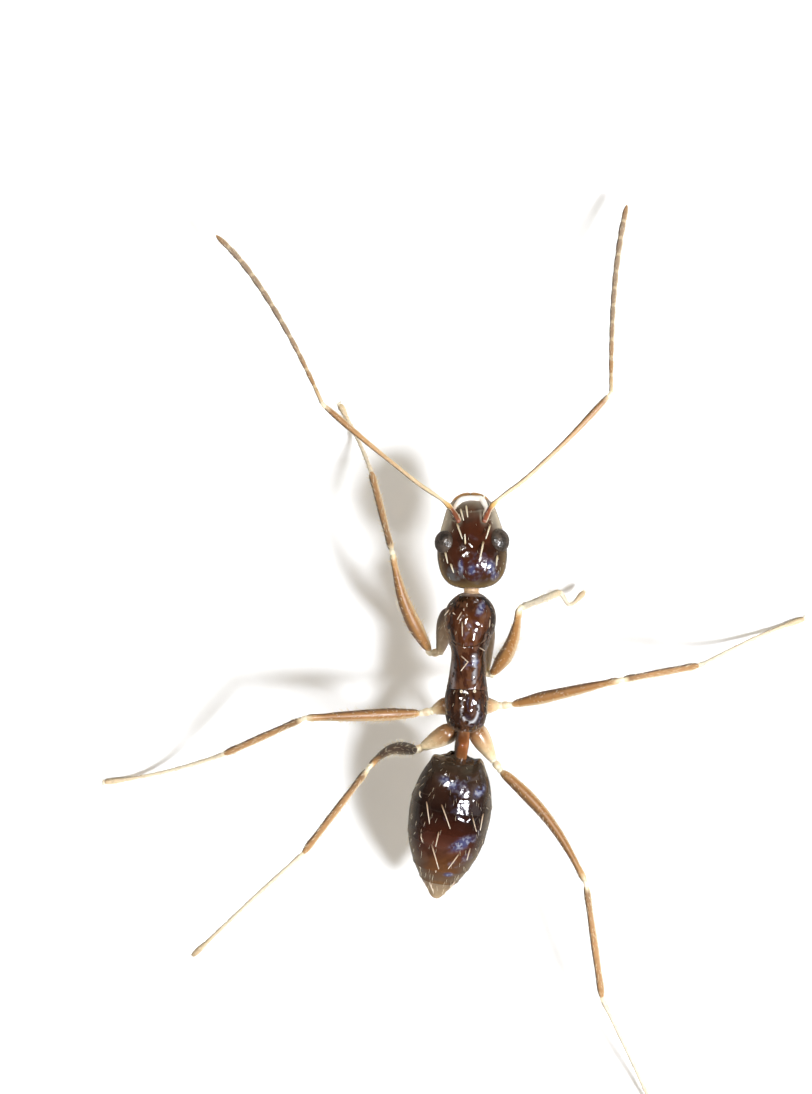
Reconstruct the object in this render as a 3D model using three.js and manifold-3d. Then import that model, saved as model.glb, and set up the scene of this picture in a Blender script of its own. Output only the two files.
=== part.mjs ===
// A worker of the longhorn crazy ant at life size, in millimetres.
// The head points along -Y, the ant's left side is +X, and the feet stand on Z = 0.
// Each named mesh is one hard piece of the body; neighbours are parted by a thin cut.
import * as THREE from 'three';
import { mergeVertices } from 'three/addons/utils/BufferGeometryUtils.js';
import Module from 'manifold-3d';

const wasm = await Module();
wasm.setup();

// ---------------------------------------------------------------- driving dimensions

const GAP = 0.005;            // width of the thin cuts between neighbouring pieces
const SMALLEST_EDGE = 0.002;  // edges shorter than this are cleaned away after a cut
const SAME_POINT = 1e-6;      // vertices closer than this are one

const HEAD_LENGTH = 0.615;    // clypeus to the back of the head
const HEAD_WIDTH = 0.460;     // across the cheeks, without the eyes
const HEAD_DEPTH = 0.360;
const EYE = { width: 0.110, length: 0.152, height: 0.150 };
const EYE_TILT = 40;          // how far, in degrees, an eye looks up from straight out

const SCAPE_LENGTH = 1.180;   // first, long part of the feeler, with its bent base
const FUNICULUS_LENGTH = 1.47;
const FUNICULUS_JOINTS = 11;

const TRUNK_FRONT = -0.478;
const TRUNK_REAR = 0.455;
const PRONOTUM_END = -0.150;  // border between the first and second trunk plates
const MIDDLE_END = 0.172;     // the groove in front of the propodeum

const GASTER_LENGTH = 1.012;
const GASTER_WIDTH = 0.540;
const GASTER_BORDERS = [0.308, 0.553, 0.755, 0.858]; // where each back plate ends

const LEG_LENGTHS = {
  front: { coxa: 0.360, trochanter: 0.080, femur: 0.770, tibia: 0.785, tarsus: 0.610 },
  middle: { coxa: 0.135, trochanter: 0.075, femur: 0.790, tibia: 0.740, tarsus: 0.945 },
  hind: { coxa: 0.254, trochanter: 0.080, femur: 0.950, tibia: 0.890, tarsus: 1.260 },
};

const COLOURS = {
  shell: 0x2a1712,
  waist: 0x6b3520,
  membrane: 0xd9c27a,
  eye: 0x14151a,
  jaw: 0x5a3018,
  scape: 0xa9783c,
  funiculus: 0x8a6038,
  coxa: 0xcfa268,
  trochanter: 0xe8cf9a,
  femur: 0x7a5230,
  tibia: 0x8f6a3c,
  tarsus: 0xdcc493,
  tip: 0xa07846,
};

// ---------------------------------------------------------------- small helpers

const radians = THREE.MathUtils.degToRad;
const UP = new THREE.Vector3(0, 0, 1);

// A smooth reading of one column of a table of stations, with no overshoot between rows.
function reading(rows, place, column) {
  let i = 1;
  while (i < rows.length - 1 && rows[i][0] < place) i += 1;
  const secant = (k) => (rows[k + 1][column] - rows[k][column]) / (rows[k + 1][0] - rows[k][0]);
  const slope = (k) => {
    if (k === 0) return secant(0);
    if (k === rows.length - 1) return secant(k - 1);
    const before = secant(k - 1);
    const after = secant(k);
    return before * after <= 0 ? 0 : (2 * before * after) / (before + after);
  };
  const span = rows[i][0] - rows[i - 1][0];
  const t = THREE.MathUtils.clamp((place - rows[i - 1][0]) / span, 0, 1);
  const [start, end] = [rows[i - 1][column], rows[i][column]];
  const [leave, arrive] = [slope(i - 1) * span, slope(i) * span];
  const bend = 3 * (end - start) - 2 * leave - arrive;
  const twist = 2 * (start - end) + leave + arrive;
  return start + leave * t + bend * t * t + twist * t * t * t;
}

// How much of its full size a rounded end has at a distance from its tip.
function rounding(distance, radius) {
  if (radius <= 0 || distance >= radius) return 1;
  const short = 1 - Math.max(distance, 0) / radius;
  return Math.sqrt(1 - short * short);
}

// Places from 0 to 1 that crowd together at both ends, where a body rounds off.
function crowded(steps, index) {
  return (1 - Math.cos((Math.PI * index) / steps)) / 2;
}

// One closed surface from rings of points, with a single point closing each end.
function skin(rings, firstPoint, lastPoint) {
  const around = rings[0].length;
  const points = [firstPoint, ...rings.flat(), lastPoint];
  const last = points.length - 1;
  const faces = [];
  for (let j = 0; j < around; j += 1) {
    const k = (j + 1) % around;
    faces.push(0, 1 + k, 1 + j);
    for (let i = 0; i < rings.length - 1; i += 1) {
      const near = 1 + i * around;
      const far = near + around;
      faces.push(near + j, near + k, far + k);
      faces.push(near + j, far + k, far + j);
    }
    const rim = last - around;
    faces.push(rim + j, rim + k, last);
  }
  const geometry = new THREE.BufferGeometry();
  const places = points.flatMap((p) => [p.x, p.y, p.z]);
  geometry.setAttribute('position', new THREE.Float32BufferAttribute(places, 3));
  geometry.setIndex(faces);
  return geometry;
}

// A body shell along Y. Each station row is [y, half width, top, bottom].
// An end with a round length closes in a dome, and any other end is cut flat.
// Pinch narrows the back and widens the flanks, as a share of the width.
function shell(rows, shape) {
  const { from, to, roundFront = 0, roundRear = 0, sides = 24, steps = 8, square = 2.2, pinch = 0 } = shape;
  const rings = [];
  for (let i = roundFront > 0 ? 1 : 0; i <= steps - (roundRear > 0 ? 1 : 0); i += 1) {
    const y = from + (to - from) * crowded(steps, i);
    const size = rounding(y - from, roundFront) * rounding(to - y, roundRear);
    const top = reading(rows, y, 2);
    const bottom = reading(rows, y, 3);
    const middle = (top + bottom) / 2;
    const ring = [];
    for (let j = 0; j < sides; j += 1) {
      const angle = (2 * Math.PI * j) / sides;
      const across = Math.sign(Math.cos(angle)) * Math.abs(Math.cos(angle)) ** (2 / square);
      const above = Math.sign(Math.sin(angle)) * Math.abs(Math.sin(angle)) ** (2 / square);
      const x = across * reading(rows, y, 1) * size * (1 - pinch * Math.max(above, -0.3));
      ring.push(new THREE.Vector3(x, y, middle + above * ((top - bottom) / 2) * size));
    }
    rings.push(ring.reverse());
  }
  const closing = (y) => new THREE.Vector3(0, y, (reading(rows, y, 2) + reading(rows, y, 3)) / 2);
  return skin(rings, closing(from), closing(to));
}

// A limb along its own +Z with domed ends. Rows are [share of length, radius].
// Flatten narrows it across, and bow is how far its middle stands across and above.
function limb(length, rows, { sides = 10, steps = 8, flatten = 1, bow = [0, 0] } = {}) {
  const rings = [];
  const centre = (z) => {
    const swell = Math.sin((Math.PI * z) / length);
    return new THREE.Vector3(bow[0] * swell, bow[1] * swell, z);
  };
  for (let i = 1; i < steps; i += 1) {
    const z = length * crowded(steps, i);
    const ends = rounding(z, rows[0][1]) * rounding(length - z, rows.at(-1)[1]);
    const radius = reading(rows, z / length, 1) * ends;
    const ring = [];
    for (let j = 0; j < sides; j += 1) {
      const angle = (2 * Math.PI * j) / sides;
      const offset = new THREE.Vector3(Math.cos(angle) * radius * flatten, Math.sin(angle) * radius, 0);
      ring.push(centre(z).add(offset));
    }
    rings.push(ring);
  }
  return skin(rings, centre(0), centre(length));
}

// A curved limb along a path, with its radius at each share of its length.
// Points under the floor level are pressed flat on it.
function bentLimb(path, places, radiusAt, { sides = 8, floor = -Infinity } = {}) {
  const side = new THREE.Vector3().crossVectors(UP, path.getTangentAt(0)).normalize();
  const pressed = (point) => point.setZ(Math.max(point.z, floor));
  const rings = places.map((place) => {
    const forward = path.getTangentAt(place);
    const across = side.addScaledVector(forward, -side.dot(forward)).normalize().clone();
    const above = new THREE.Vector3().crossVectors(forward, across);
    const centre = path.getPointAt(place);
    const ring = [];
    for (let j = 0; j < sides; j += 1) {
      const angle = (2 * Math.PI * (j + 0.5)) / sides;
      const offset = across.clone().multiplyScalar(Math.cos(angle)).addScaledVector(above, Math.sin(angle));
      ring.push(pressed(centre.clone().addScaledVector(offset, radiusAt(place))));
    }
    return ring;
  });
  return skin(rings, pressed(path.getPointAt(0)), pressed(path.getPointAt(1)));
}

// A direction from a swing forward of straight out to the side and a rise above level.
function aim(side, swing, rise) {
  const level = Math.cos(radians(rise));
  const out = side * level * Math.cos(radians(swing));
  return new THREE.Vector3(out, -level * Math.sin(radians(swing)), Math.sin(radians(rise)));
}

// The same surface with one vertex where several coincide, and nothing but positions.
function merged(geometry) {
  geometry.deleteAttribute('normal');
  geometry.deleteAttribute('uv');
  return mergeVertices(geometry, SAME_POINT);
}

function piece(name, geometry, colour, roughness = 0.3) {
  const material = new THREE.MeshStandardMaterial({ color: colour, roughness, metalness: 0 });
  const mesh = new THREE.Mesh(merged(geometry), material);
  mesh.name = name;
  return mesh;
}

// A limb's own frame: its hinge lies across it, and its length is +Z.
// The hinge is the axis that its joints bend about.
function limbFrame(direction, hinge) {
  const across = hinge.clone().addScaledVector(direction, -hinge.dot(direction)).normalize();
  const above = new THREE.Vector3().crossVectors(direction, across);
  return new THREE.Matrix4().makeBasis(across, above, direction);
}

// How far a limb's middle stands off, read in its own frame from a lead forward and a lift.
function bowIn(frame, direction, side, [lead, lift]) {
  const rearward = new THREE.Vector3().crossVectors(UP, direction).normalize().multiplyScalar(side);
  const upward = new THREE.Vector3().crossVectors(direction, rearward).multiplyScalar(side);
  const offset = rearward.multiplyScalar(-lead).addScaledVector(upward, lift);
  const local = offset.applyMatrix4(frame.clone().transpose());
  return [local.x, local.y];
}

function turn(object, yaw, pitch) {
  object.rotation.set(radians(pitch), 0, radians(yaw), 'ZYX');
  return object;
}

// ---------------------------------------------------------------- cuts

function solidOf(geometry, matrix) {
  const placed = merged(geometry.clone().applyMatrix4(matrix));
  const vertProperties = placed.attributes.position.array;
  const triVerts = new Uint32Array(placed.index.array);
  return new wasm.Manifold(new wasm.Mesh({ numProp: 3, vertProperties, triVerts }));
}

// The same shape grown by the gap on every side, to cut its neighbour with.
function grown(geometry) {
  const copy = geometry.clone();
  copy.computeVertexNormals();
  const { position, normal } = copy.attributes;
  for (let i = 0; i < position.count; i += 1) {
    const x = position.getX(i) + normal.getX(i) * GAP;
    const y = position.getY(i) + normal.getY(i) * GAP;
    position.setXYZ(i, x, y, position.getZ(i) + normal.getZ(i) * GAP);
  }
  return copy;
}

// Cuts a piece where its neighbours and their thin gap lie, and keeps its largest part.
function fitAgainst(mesh, ...neighbours) {
  let solid = solidOf(mesh.geometry, mesh.matrixWorld);
  for (const neighbour of neighbours) {
    solid = solid.subtract(solidOf(grown(neighbour.geometry), neighbour.matrixWorld));
  }
  const parts = solid.decompose().sort((a, b) => b.volume() - a.volume());
  const { vertProperties, triVerts } = parts[0].simplify(SMALLEST_EDGE).getMesh();
  const geometry = new THREE.BufferGeometry();
  geometry.setAttribute('position', new THREE.Float32BufferAttribute(vertProperties, 3));
  geometry.setIndex([...triVerts]);
  mesh.geometry = geometry.applyMatrix4(mesh.matrixWorld.clone().invert());
}

const ant = new THREE.Group();

// ---------------------------------------------------------------- head

const headFront = -HEAD_LENGTH / 2 + 0.015;
const headRear = HEAD_LENGTH / 2 + 0.015;
const cheek = HEAD_WIDTH / 2;
const crown = HEAD_DEPTH / 2;
const HEAD_ROWS = [
  [headFront, 0.088, 0.016, -0.072],
  [-0.262, 0.130, 0.054, -0.094],
  [-0.227, 0.151, 0.088, -0.110],
  [-0.179, 0.173, 0.120, -0.130],
  [-0.130, 0.187, 0.144, -0.146],
  [-0.082, 0.198, 0.160, -0.157],
  [0.020, cheek - 0.012, crown - 0.002, -crown + 0.010],
  [0.110, cheek, crown, -crown + 0.012],
  [0.159, cheek - 0.006, crown - 0.008, -crown + 0.020],
  [0.207, cheek - 0.017, crown - 0.024, -crown + 0.036],
  [0.255, 0.189, 0.132, -0.122],
  [0.290, 0.154, 0.100, -0.094],
  [headRear, 0.092, 0.056, -0.054],
];

function makeHead() {
  const head = turn(new THREE.Group(), 1.6, 12);
  head.position.set(-0.031, -0.818, 1.0);
  const ends = { from: headFront, to: headRear, roundFront: 0.020, roundRear: 0.030 };
  head.add(piece('head', shell(HEAD_ROWS, { ...ends, sides: 24, steps: 15, square: 2.15 }), COLOURS.shell));
  for (const [name, side] of [['left', 1], ['right', -1]]) {
    head.add(makeEye(name, side), makeMandible(name, side), makePalp(name, side));
  }
  return head;
}

function makeEye(name, side) {
  const ball = new THREE.SphereGeometry(0.5, 12, 8).rotateZ(Math.PI / 2);
  const eye = piece(`eye_${name}`, ball.scale(EYE.width, EYE.length, EYE.height), COLOURS.eye, 0.25);
  eye.position.set(side * 0.181, 0.030, 0.103);
  eye.rotation.set(0, side * radians(-EYE_TILT), side * radians(4));
  return eye;
}

// Each jaw curves in from the corner of the mouth to meet the other at the middle.
function makeMandible(name, side) {
  const hinge = new THREE.Vector3(side * 0.106, -0.190, -0.082);
  const elbow = new THREE.Vector3(side * 0.112, -0.310, -0.072);
  const tip = new THREE.Vector3(side * 0.010, -0.322, -0.078);
  const path = new THREE.QuadraticBezierCurve3(hinge, elbow, tip);
  const rows = [[0, 0.034], [0.45, 0.040], [0.8, 0.028], [1, 0.012]];
  const places = [0.02, 0.15, 0.32, 0.5, 0.68, 0.84, 0.97];
  const radiusAt = (place) => reading(rows, place, 1) * rounding(place, 0.12);
  const geometry = bentLimb(path, places, radiusAt, { sides: 10 });
  return piece(`mandible_${name}`, geometry, COLOURS.jaw);
}

// The long feelers of the mouth hang back below the head.
function makePalp(name, side) {
  const root = new THREE.Vector3(side * 0.045, -0.165, -0.155);
  const sag = new THREE.Vector3(side * 0.085, -0.075, -0.260);
  const tip = new THREE.Vector3(side * 0.070, 0.120, -0.232);
  const path = new THREE.QuadraticBezierCurve3(root, sag, tip);
  const rows = [[0, 0.011], [0.6, 0.009], [1, 0.005]];
  const places = [0.02, 0.14, 0.28, 0.42, 0.56, 0.7, 0.84, 0.97];
  const geometry = bentLimb(path, places, (place) => reading(rows, place, 1), { sides: 6 });
  return piece(`palp_${name}`, geometry, COLOURS.trochanter);
}

// ---------------------------------------------------------------- feelers

// The sag is how far the middle of the scape hangs back from a straight line.
const ANTENNAE = {
  left: {
    side: 1, swing: 38.8, rise: -3.0, sag: 0.012,
    swings: [67, 62, 56, 42], rises: [-21, -24, -25, -22],
  },
  right: {
    side: -1, swing: 43.1, rise: -3.0, sag: 0.026,
    swings: [90, 87.5, 83, 77], rises: [-26, -30, -32, -27],
  },
};
const SOCKET = [0.078, -0.135, 0.140];     // on the face, in the head's own frame
const SCAPE_BEND = [0.138, -0.206, 0.100]; // where the scape's base turns outward
const SCAPE_ROWS = [
  [0, 0.015], [0.05, 0.012], [0.10, 0.0115], [0.4, 0.0145], [0.75, 0.019], [0.96, 0.019], [1, 0.015],
];
const FUNICULUS_ROWS = [[0, 0.012], [0.2, 0.0155], [0.6, 0.0185], [0.92, 0.020], [1, 0.010]];

// The curve that a feeler takes when its heading changes evenly from one reading to the next.
function wanderingPath(start, length, { side, swings, rises }) {
  const steps = 24;
  const points = [start.clone()];
  const table = swings.map((swing, i) => [i / (swings.length - 1), swing, rises[i]]);
  for (let i = 0; i < steps; i += 1) {
    const share = (i + 0.5) / steps;
    const heading = aim(side, reading(table, share, 1), reading(table, share, 2));
    points.push(points.at(-1).clone().addScaledVector(heading, length / steps));
  }
  return new THREE.CatmullRomCurve3(points);
}

// The scape leaves its socket, turns over the edge of the face and runs to the elbow.
function makeAntenna(name, head) {
  const pose = ANTENNAE[name];
  const inHead = ([x, y, z]) => new THREE.Vector3(pose.side * x, y, z).applyMatrix4(head.matrixWorld);
  const socket = inHead(SOCKET);
  const bend = inHead(SCAPE_BEND);
  const heading = aim(pose.side, pose.swing, pose.rise);
  const straight = SCAPE_LENGTH - socket.distanceTo(bend);
  const back = new THREE.Vector3().crossVectors(UP, heading).multiplyScalar(pose.side * pose.sag);
  const onTheWay = (share) => bend.clone().addScaledVector(heading, share * straight)
    .addScaledVector(back, Math.sin(Math.PI * share));
  const points = [socket, bend, onTheWay(0.2), onTheWay(0.4), onTheWay(0.6), onTheWay(0.8), onTheWay(1)];
  const elbow = points.at(-1).clone();
  const line = new THREE.CatmullRomCurve3(points.map((point) => point.sub(elbow)));
  const scapePlaces = [0.004, 0.03, 0.06, 0.09, 0.14, 0.25, 0.4, 0.55, 0.7, 0.85, 0.96, 0.985, 0.996];
  const tube = (place) => reading(SCAPE_ROWS, place, 1) * rounding(1 - place, 0.014);
  const scape = piece(`scape_${name}`, bentLimb(line, scapePlaces, tube, { sides: 8 }), COLOURS.scape);
  scape.position.copy(elbow);
  const first = aim(pose.side, pose.swings[0], pose.rises[0]);
  const clear = clearStart(SCAPE_ROWS.at(-1)[1], FUNICULUS_ROWS[0][1], heading, first);
  const curve = wanderingPath(first.multiplyScalar(clear), FUNICULUS_LENGTH - clear, pose);
  const places = [0.004];
  const waist = 0.86;
  for (let i = 0; i < FUNICULUS_JOINTS; i += 1) {
    if (i > 0) places.push(i / FUNICULUS_JOINTS);
    places.push((i + 0.35) / FUNICULUS_JOINTS, (i + 0.8) / FUNICULUS_JOINTS);
  }
  const bead = (place) => {
    const within = (place * FUNICULUS_JOINTS) % 1;
    const atJoint = place > 0.01 && (within < 0.01 || within > 0.99);
    return reading(FUNICULUS_ROWS, place, 1) * (atJoint ? waist : 1);
  };
  const whip = bentLimb(curve, places, bead, { sides: 6 });
  const funiculus = piece(`funiculus_${name}`, whip, COLOURS.funiculus);
  funiculus.position.copy(elbow);
  return [scape, funiculus];
}

// How far past a joint the next piece starts, so that its domed end just clears the last one.
function clearStart(endRadius, startRadius, before, after) {
  const cosine = THREE.MathUtils.clamp(before.dot(after), -1, 1);
  const reach = endRadius + startRadius + GAP;
  const along = -endRadius * cosine + Math.sqrt(reach ** 2 - endRadius ** 2 * (1 - cosine ** 2));
  return along - startRadius;
}

// ---------------------------------------------------------------- trunk

const TRUNK_ROWS = [
  [TRUNK_FRONT, 0.064, 1.002, 0.896],
  [-0.455, 0.092, 1.030, 0.872],
  [-0.420, 0.126, 1.058, 0.850],
  [-0.385, 0.152, 1.080, 0.838],
  [-0.310, 0.170, 1.104, 0.824],
  [-0.240, 0.163, 1.104, 0.812],
  [PRONOTUM_END, 0.132, 1.084, 0.798],
  [-0.060, 0.113, 1.060, 0.786],
  [0.040, 0.118, 1.030, 0.772],
  [0.120, 0.128, 1.000, 0.760],
  [MIDDLE_END, 0.137, 0.984, 0.754],
  [0.225, 0.144, 0.992, 0.748],
  [0.300, 0.140, 0.988, 0.744],
  [0.365, 0.130, 0.966, 0.746],
  [0.420, 0.106, 0.926, 0.752],
  [TRUNK_REAR, 0.070, 0.880, 0.764],
];
const BACK_PINCH = 0.10; // the back is narrower than the flanks by this share

function makeTrunk() {
  const trunk = turn(new THREE.Group(), -2.5, 0);
  trunk.position.x = -0.007;
  const common = { sides: 22, square: 2.2, pinch: BACK_PINCH };
  const plates = [
    ['pronotum', { from: TRUNK_FRONT, to: PRONOTUM_END - GAP, roundFront: 0.02, steps: 9 }],
    ['mesothorax', { from: PRONOTUM_END, to: MIDDLE_END - GAP, steps: 6 }],
    ['propodeum', { from: MIDDLE_END, to: TRUNK_REAR, roundRear: 0.03, steps: 8 }],
  ];
  for (const [name, ends] of plates) {
    trunk.add(piece(name, shell(TRUNK_ROWS, { ...common, ...ends }), COLOURS.shell));
  }
  const neckRows = [[-0.560, 0.046, 0.992, 0.905], [-0.430, 0.052, 1.000, 0.905]];
  const neckEnds = { from: neckRows[0][0], to: neckRows[1][0] };
  trunk.add(piece('neck', shell(neckRows, { ...neckEnds, sides: 12, steps: 3 }), COLOURS.membrane));
  return trunk;
}

// ---------------------------------------------------------------- waist and gaster

const PETIOLE_ROWS = [
  [-0.020, 0.034, 0.036, -0.036],
  [0.035, 0.046, 0.062, -0.052],
  [0.085, 0.056, 0.104, -0.056],
  [0.120, 0.052, 0.082, -0.050],
  [0.185, 0.040, 0.032, -0.042],
];

function makePetiole() {
  const waist = turn(new THREE.Group(), -7, 0);
  waist.position.set(0.036, 0.445, 0.842);
  const ends = { from: PETIOLE_ROWS[0][0], to: PETIOLE_ROWS.at(-1)[0] };
  waist.add(piece('petiole', shell(PETIOLE_ROWS, { ...ends, sides: 16, steps: 7 }), COLOURS.waist));
  return waist;
}

const flank = GASTER_WIDTH / 2;
const GASTER_ROWS = [
  [0, 0.142, 0.118, -0.096],
  [0.040, 0.172, 0.168, -0.130],
  [0.150, 0.228, 0.226, -0.172],
  [0.290, 0.264, 0.254, -0.202],
  [0.380, flank, 0.258, -0.212],
  [0.520, 0.260, 0.246, -0.212],
  [0.630, 0.238, 0.226, -0.198],
  [0.730, 0.200, 0.190, -0.170],
  [0.806, 0.162, 0.154, -0.142],
  [0.892, 0.108, 0.102, -0.098],
  [0.960, 0.058, 0.056, -0.056],
  [GASTER_LENGTH, 0.030, 0.030, -0.030],
];

function makeGaster() {
  const gaster = turn(new THREE.Group(), -9.5, -19);
  gaster.position.set(0.050, 0.607, 0.870);
  const edges = [0, ...GASTER_BORDERS, GASTER_LENGTH];
  const steps = [9, 5, 4, 3, 5];
  for (let i = 0; i < steps.length; i += 1) {
    const isTip = i === steps.length - 1;
    const from = edges[i];
    const to = isTip ? edges[i + 1] : edges[i + 1] - GAP;
    const ends = { roundFront: i === 0 ? 0.012 : 0, roundRear: isTip ? 0.03 : 0 };
    const geometry = shell(GASTER_ROWS, { from, to, ...ends, sides: 24, steps: steps[i] });
    const name = isTip ? 'gaster_tip' : `gaster_${i + 1}`;
    gaster.add(piece(name, geometry, isTip ? COLOURS.tip : COLOURS.shell));
  }
  return gaster;
}

// ---------------------------------------------------------------- legs

// Rows are [share of length, radius].
const COXA_ROWS = {
  front: [[0, 0.052], [0.25, 0.068], [0.6, 0.056], [0.88, 0.036], [1, 0.028]],
  middle: [[0, 0.052], [0.35, 0.058], [0.8, 0.036], [1, 0.026]],
  hind: [[0, 0.046], [0.45, 0.060], [0.83, 0.038], [1, 0.028]],
};
const TROCHANTER_ROWS = [[0, 0.018], [0.45, 0.027], [0.8, 0.024], [1, 0.019]];
const FEMUR_ROWS = {
  front: [[0, 0.020], [0.07, 0.036], [0.25, 0.057], [0.45, 0.052], [0.75, 0.033], [0.93, 0.024], [1, 0.023]],
  middle: [[0, 0.020], [0.08, 0.032], [0.28, 0.047], [0.5, 0.043], [0.75, 0.033], [0.93, 0.025], [1, 0.023]],
  hind: [[0, 0.021], [0.07, 0.035], [0.22, 0.045], [0.45, 0.039], [0.75, 0.028], [0.93, 0.023], [1, 0.021]],
};
const FEMUR_FLATTEN = 0.86;
// How far a femur's middle stands forward of and above its ends; negative is backward.
const FEMUR_BOW = { front: [-0.040, 0.004], middle: [0, 0.008], hind: [0.056, 0.004] };
const TIBIA_BOW = [0, 0.006];
const TIBIA_ROWS = [[0, 0.0165], [0.06, 0.0205], [0.2, 0.0215], [0.6, 0.024], [0.9, 0.0225], [1, 0.017]];
const TARSUS_ROWS = [[0, 0.011], [0.08, 0.0115], [0.5, 0.0095], [0.86, 0.010], [0.94, 0.0165], [1, 0.012]];

// Swings are degrees forward of straight out, and rises are degrees above level.
// A foot leaves the ankle and meets its toe along the headings given for each end.
const STANCE = {
  front_left: {
    root: [0.100, -0.345, 0.860], coxa: [-76, -41.8], trochanter: [-12, -15], femur: [69.2, 21.9],
    tibia: [75.4, -44.7], foot: { leave: [70, -50], arrive: [61, 0], swing: 65, toe: 0 },
  },
  front_right: {
    root: [-0.100, -0.302, 0.861], coxa: [-88, -18], trochanter: [-30, 40], femur: [68.5, 51.9],
    tibia: [20.8, -68], foot: { leave: [-48, -64], arrive: [50, -20], swing: 0, toe: 0.140 },
  },
  middle_left: {
    root: [0.112, 0.266, 0.772], coxa: [-20, -25], trochanter: [-12, -5], femur: [-2.3, 12.0],
    tibia: [-24.4, -36.6], foot: { leave: [-20, -44], arrive: [-6, 0], swing: -13.5, toe: 0 },
  },
  middle_right: {
    root: [-0.090, 0.275, 0.772], coxa: [0, -25], trochanter: [4, -5], femur: [13.0, 19.6],
    tibia: [9.9, -43.6], foot: { leave: [20, -67], arrive: [17, 0], swing: 23.4, toe: 0 },
  },
  hind_left: {
    root: [0.085, 0.435, 0.775], coxa: [-28.8, -19.3], trochanter: [-22, 52], femur: [-16.6, 71.1],
    tibia: [-52.8, -33.7], foot: { leave: [-41, -20], arrive: [-44, -50], swing: -43.2, toe: 0.42 },
  },
  hind_right: {
    root: [-0.050, 0.420, 0.775], coxa: [-60, -13.9], trochanter: [-55, 12], femur: [-52.8, 10.5],
    tibia: [-81.7, -27.8], foot: { leave: [-64, -28], arrive: [-70, 0], swing: -66.1, toe: 0 },
  },
};

// The foot's curve from the ankle at (0, 0, 0), as long as the tarsus is.
function footPath(side, length, ankleHeight, { leave, arrive, swing, toe }) {
  const third = length / 3;
  const curveTo = (reach) => {
    const end = aim(side, swing, 0).multiplyScalar(reach).setZ(toe - ankleHeight);
    const first = aim(side, ...leave).multiplyScalar(third);
    const second = end.clone().addScaledVector(aim(side, ...arrive), -third);
    return new THREE.CubicBezierCurve3(new THREE.Vector3(), first, second, end);
  };
  let short = 0;
  let long = length;
  for (let i = 0; i < 30; i += 1) {
    const reach = (short + long) / 2;
    if (curveTo(reach).getLength() < length) short = reach;
    else long = reach;
  }
  return curveTo(short);
}

const FOOT_AXIS_HEIGHT = 0.009;  // a standing toe's axis, a little lower than its radius

function makeLeg(pair, sideName) {
  const side = sideName === 'left' ? 1 : -1;
  const lengths = LEG_LENGTHS[pair];
  const pose = STANCE[`${pair}_${sideName}`];
  const leg = new THREE.Group();
  const joint = new THREE.Vector3(...pose.root);
  const ending = `${pair}_${sideName}`;
  const stages = [
    ['coxa', COXA_ROWS[pair], [0, 0], { steps: 7, sides: 10 }],
    ['trochanter', TROCHANTER_ROWS, [0, 0], { steps: 5, sides: 8 }],
    ['femur', FEMUR_ROWS[pair], FEMUR_BOW[pair], { steps: 9, sides: 10, flatten: FEMUR_FLATTEN }],
    ['tibia', TIBIA_ROWS, TIBIA_BOW, { steps: 7, sides: 8 }],
  ];
  const hinge = kneeHinge(aim(side, ...pose.femur), aim(side, ...pose.tibia));
  let lastHeading = null;
  let lastRadius = 0;
  for (const [name, rows, lean, shape] of stages) {
    const heading = aim(side, ...pose[name]);
    const frame = limbFrame(heading, hinge);
    const clear = lastHeading ? clearStart(lastRadius, rows[0][1], lastHeading, heading) : 0;
    const bow = bowIn(frame, heading, side, lean);
    const geometry = limb(lengths[name] - clear, rows, { ...shape, bow });
    const mesh = piece(`${name}_${ending}`, geometry, COLOURS[name]);
    mesh.quaternion.setFromRotationMatrix(frame);
    mesh.position.copy(joint).addScaledVector(heading, clear);
    leg.add(mesh);
    joint.addScaledVector(heading, lengths[name]);
    lastHeading = heading;
    lastRadius = rows.at(-1)[1];
  }
  leg.add(makeTarsus(ending, side, lengths.tarsus, joint, lastHeading, lastRadius, pose.foot));
  return leg;
}

// The axis a knee bends about, on the side that leaves the limb's top uppermost.
function kneeHinge(thigh, shin) {
  const hinge = new THREE.Vector3().crossVectors(thigh, shin).normalize();
  return hinge.dot(new THREE.Vector3().crossVectors(UP, thigh)) < 0 ? hinge.negate() : hinge;
}

function makeTarsus(ending, side, length, ankle, shinHeading, shinRadius, foot) {
  const standing = foot.toe === 0;
  const toe = standing ? FOOT_AXIS_HEIGHT : foot.toe;
  const heading = aim(side, ...foot.leave);
  const clear = clearStart(shinRadius, TARSUS_ROWS[0][1], shinHeading, heading);
  const start = ankle.clone().addScaledVector(heading, clear);
  const path = footPath(side, length - clear, start.z, { ...foot, toe });
  const places = [0.006, 0.08, 0.22, 0.36, 0.5, 0.62, 0.74, 0.83, 0.9, 0.945, 0.975, 0.994];
  const radiusAt = (place) => reading(TARSUS_ROWS, place, 1) * rounding(1 - place, 0.012);
  const floor = standing ? -start.z : -Infinity;
  const geometry = bentLimb(path, places, radiusAt, { sides: 6, floor });
  const mesh = piece(`tarsus_${ending}`, geometry, COLOURS.tarsus);
  mesh.position.copy(start);
  return mesh;
}

// ---------------------------------------------------------------- the whole ant

const head = makeHead();
head.updateMatrixWorld();
ant.add(head, makeTrunk(), makePetiole(), makeGaster());
for (const name of ['left', 'right']) ant.add(...makeAntenna(name, head));
for (const pair of ['front', 'middle', 'hind']) {
  for (const sideName of ['left', 'right']) ant.add(makeLeg(pair, sideName));
}
ant.updateMatrixWorld(true);

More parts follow.
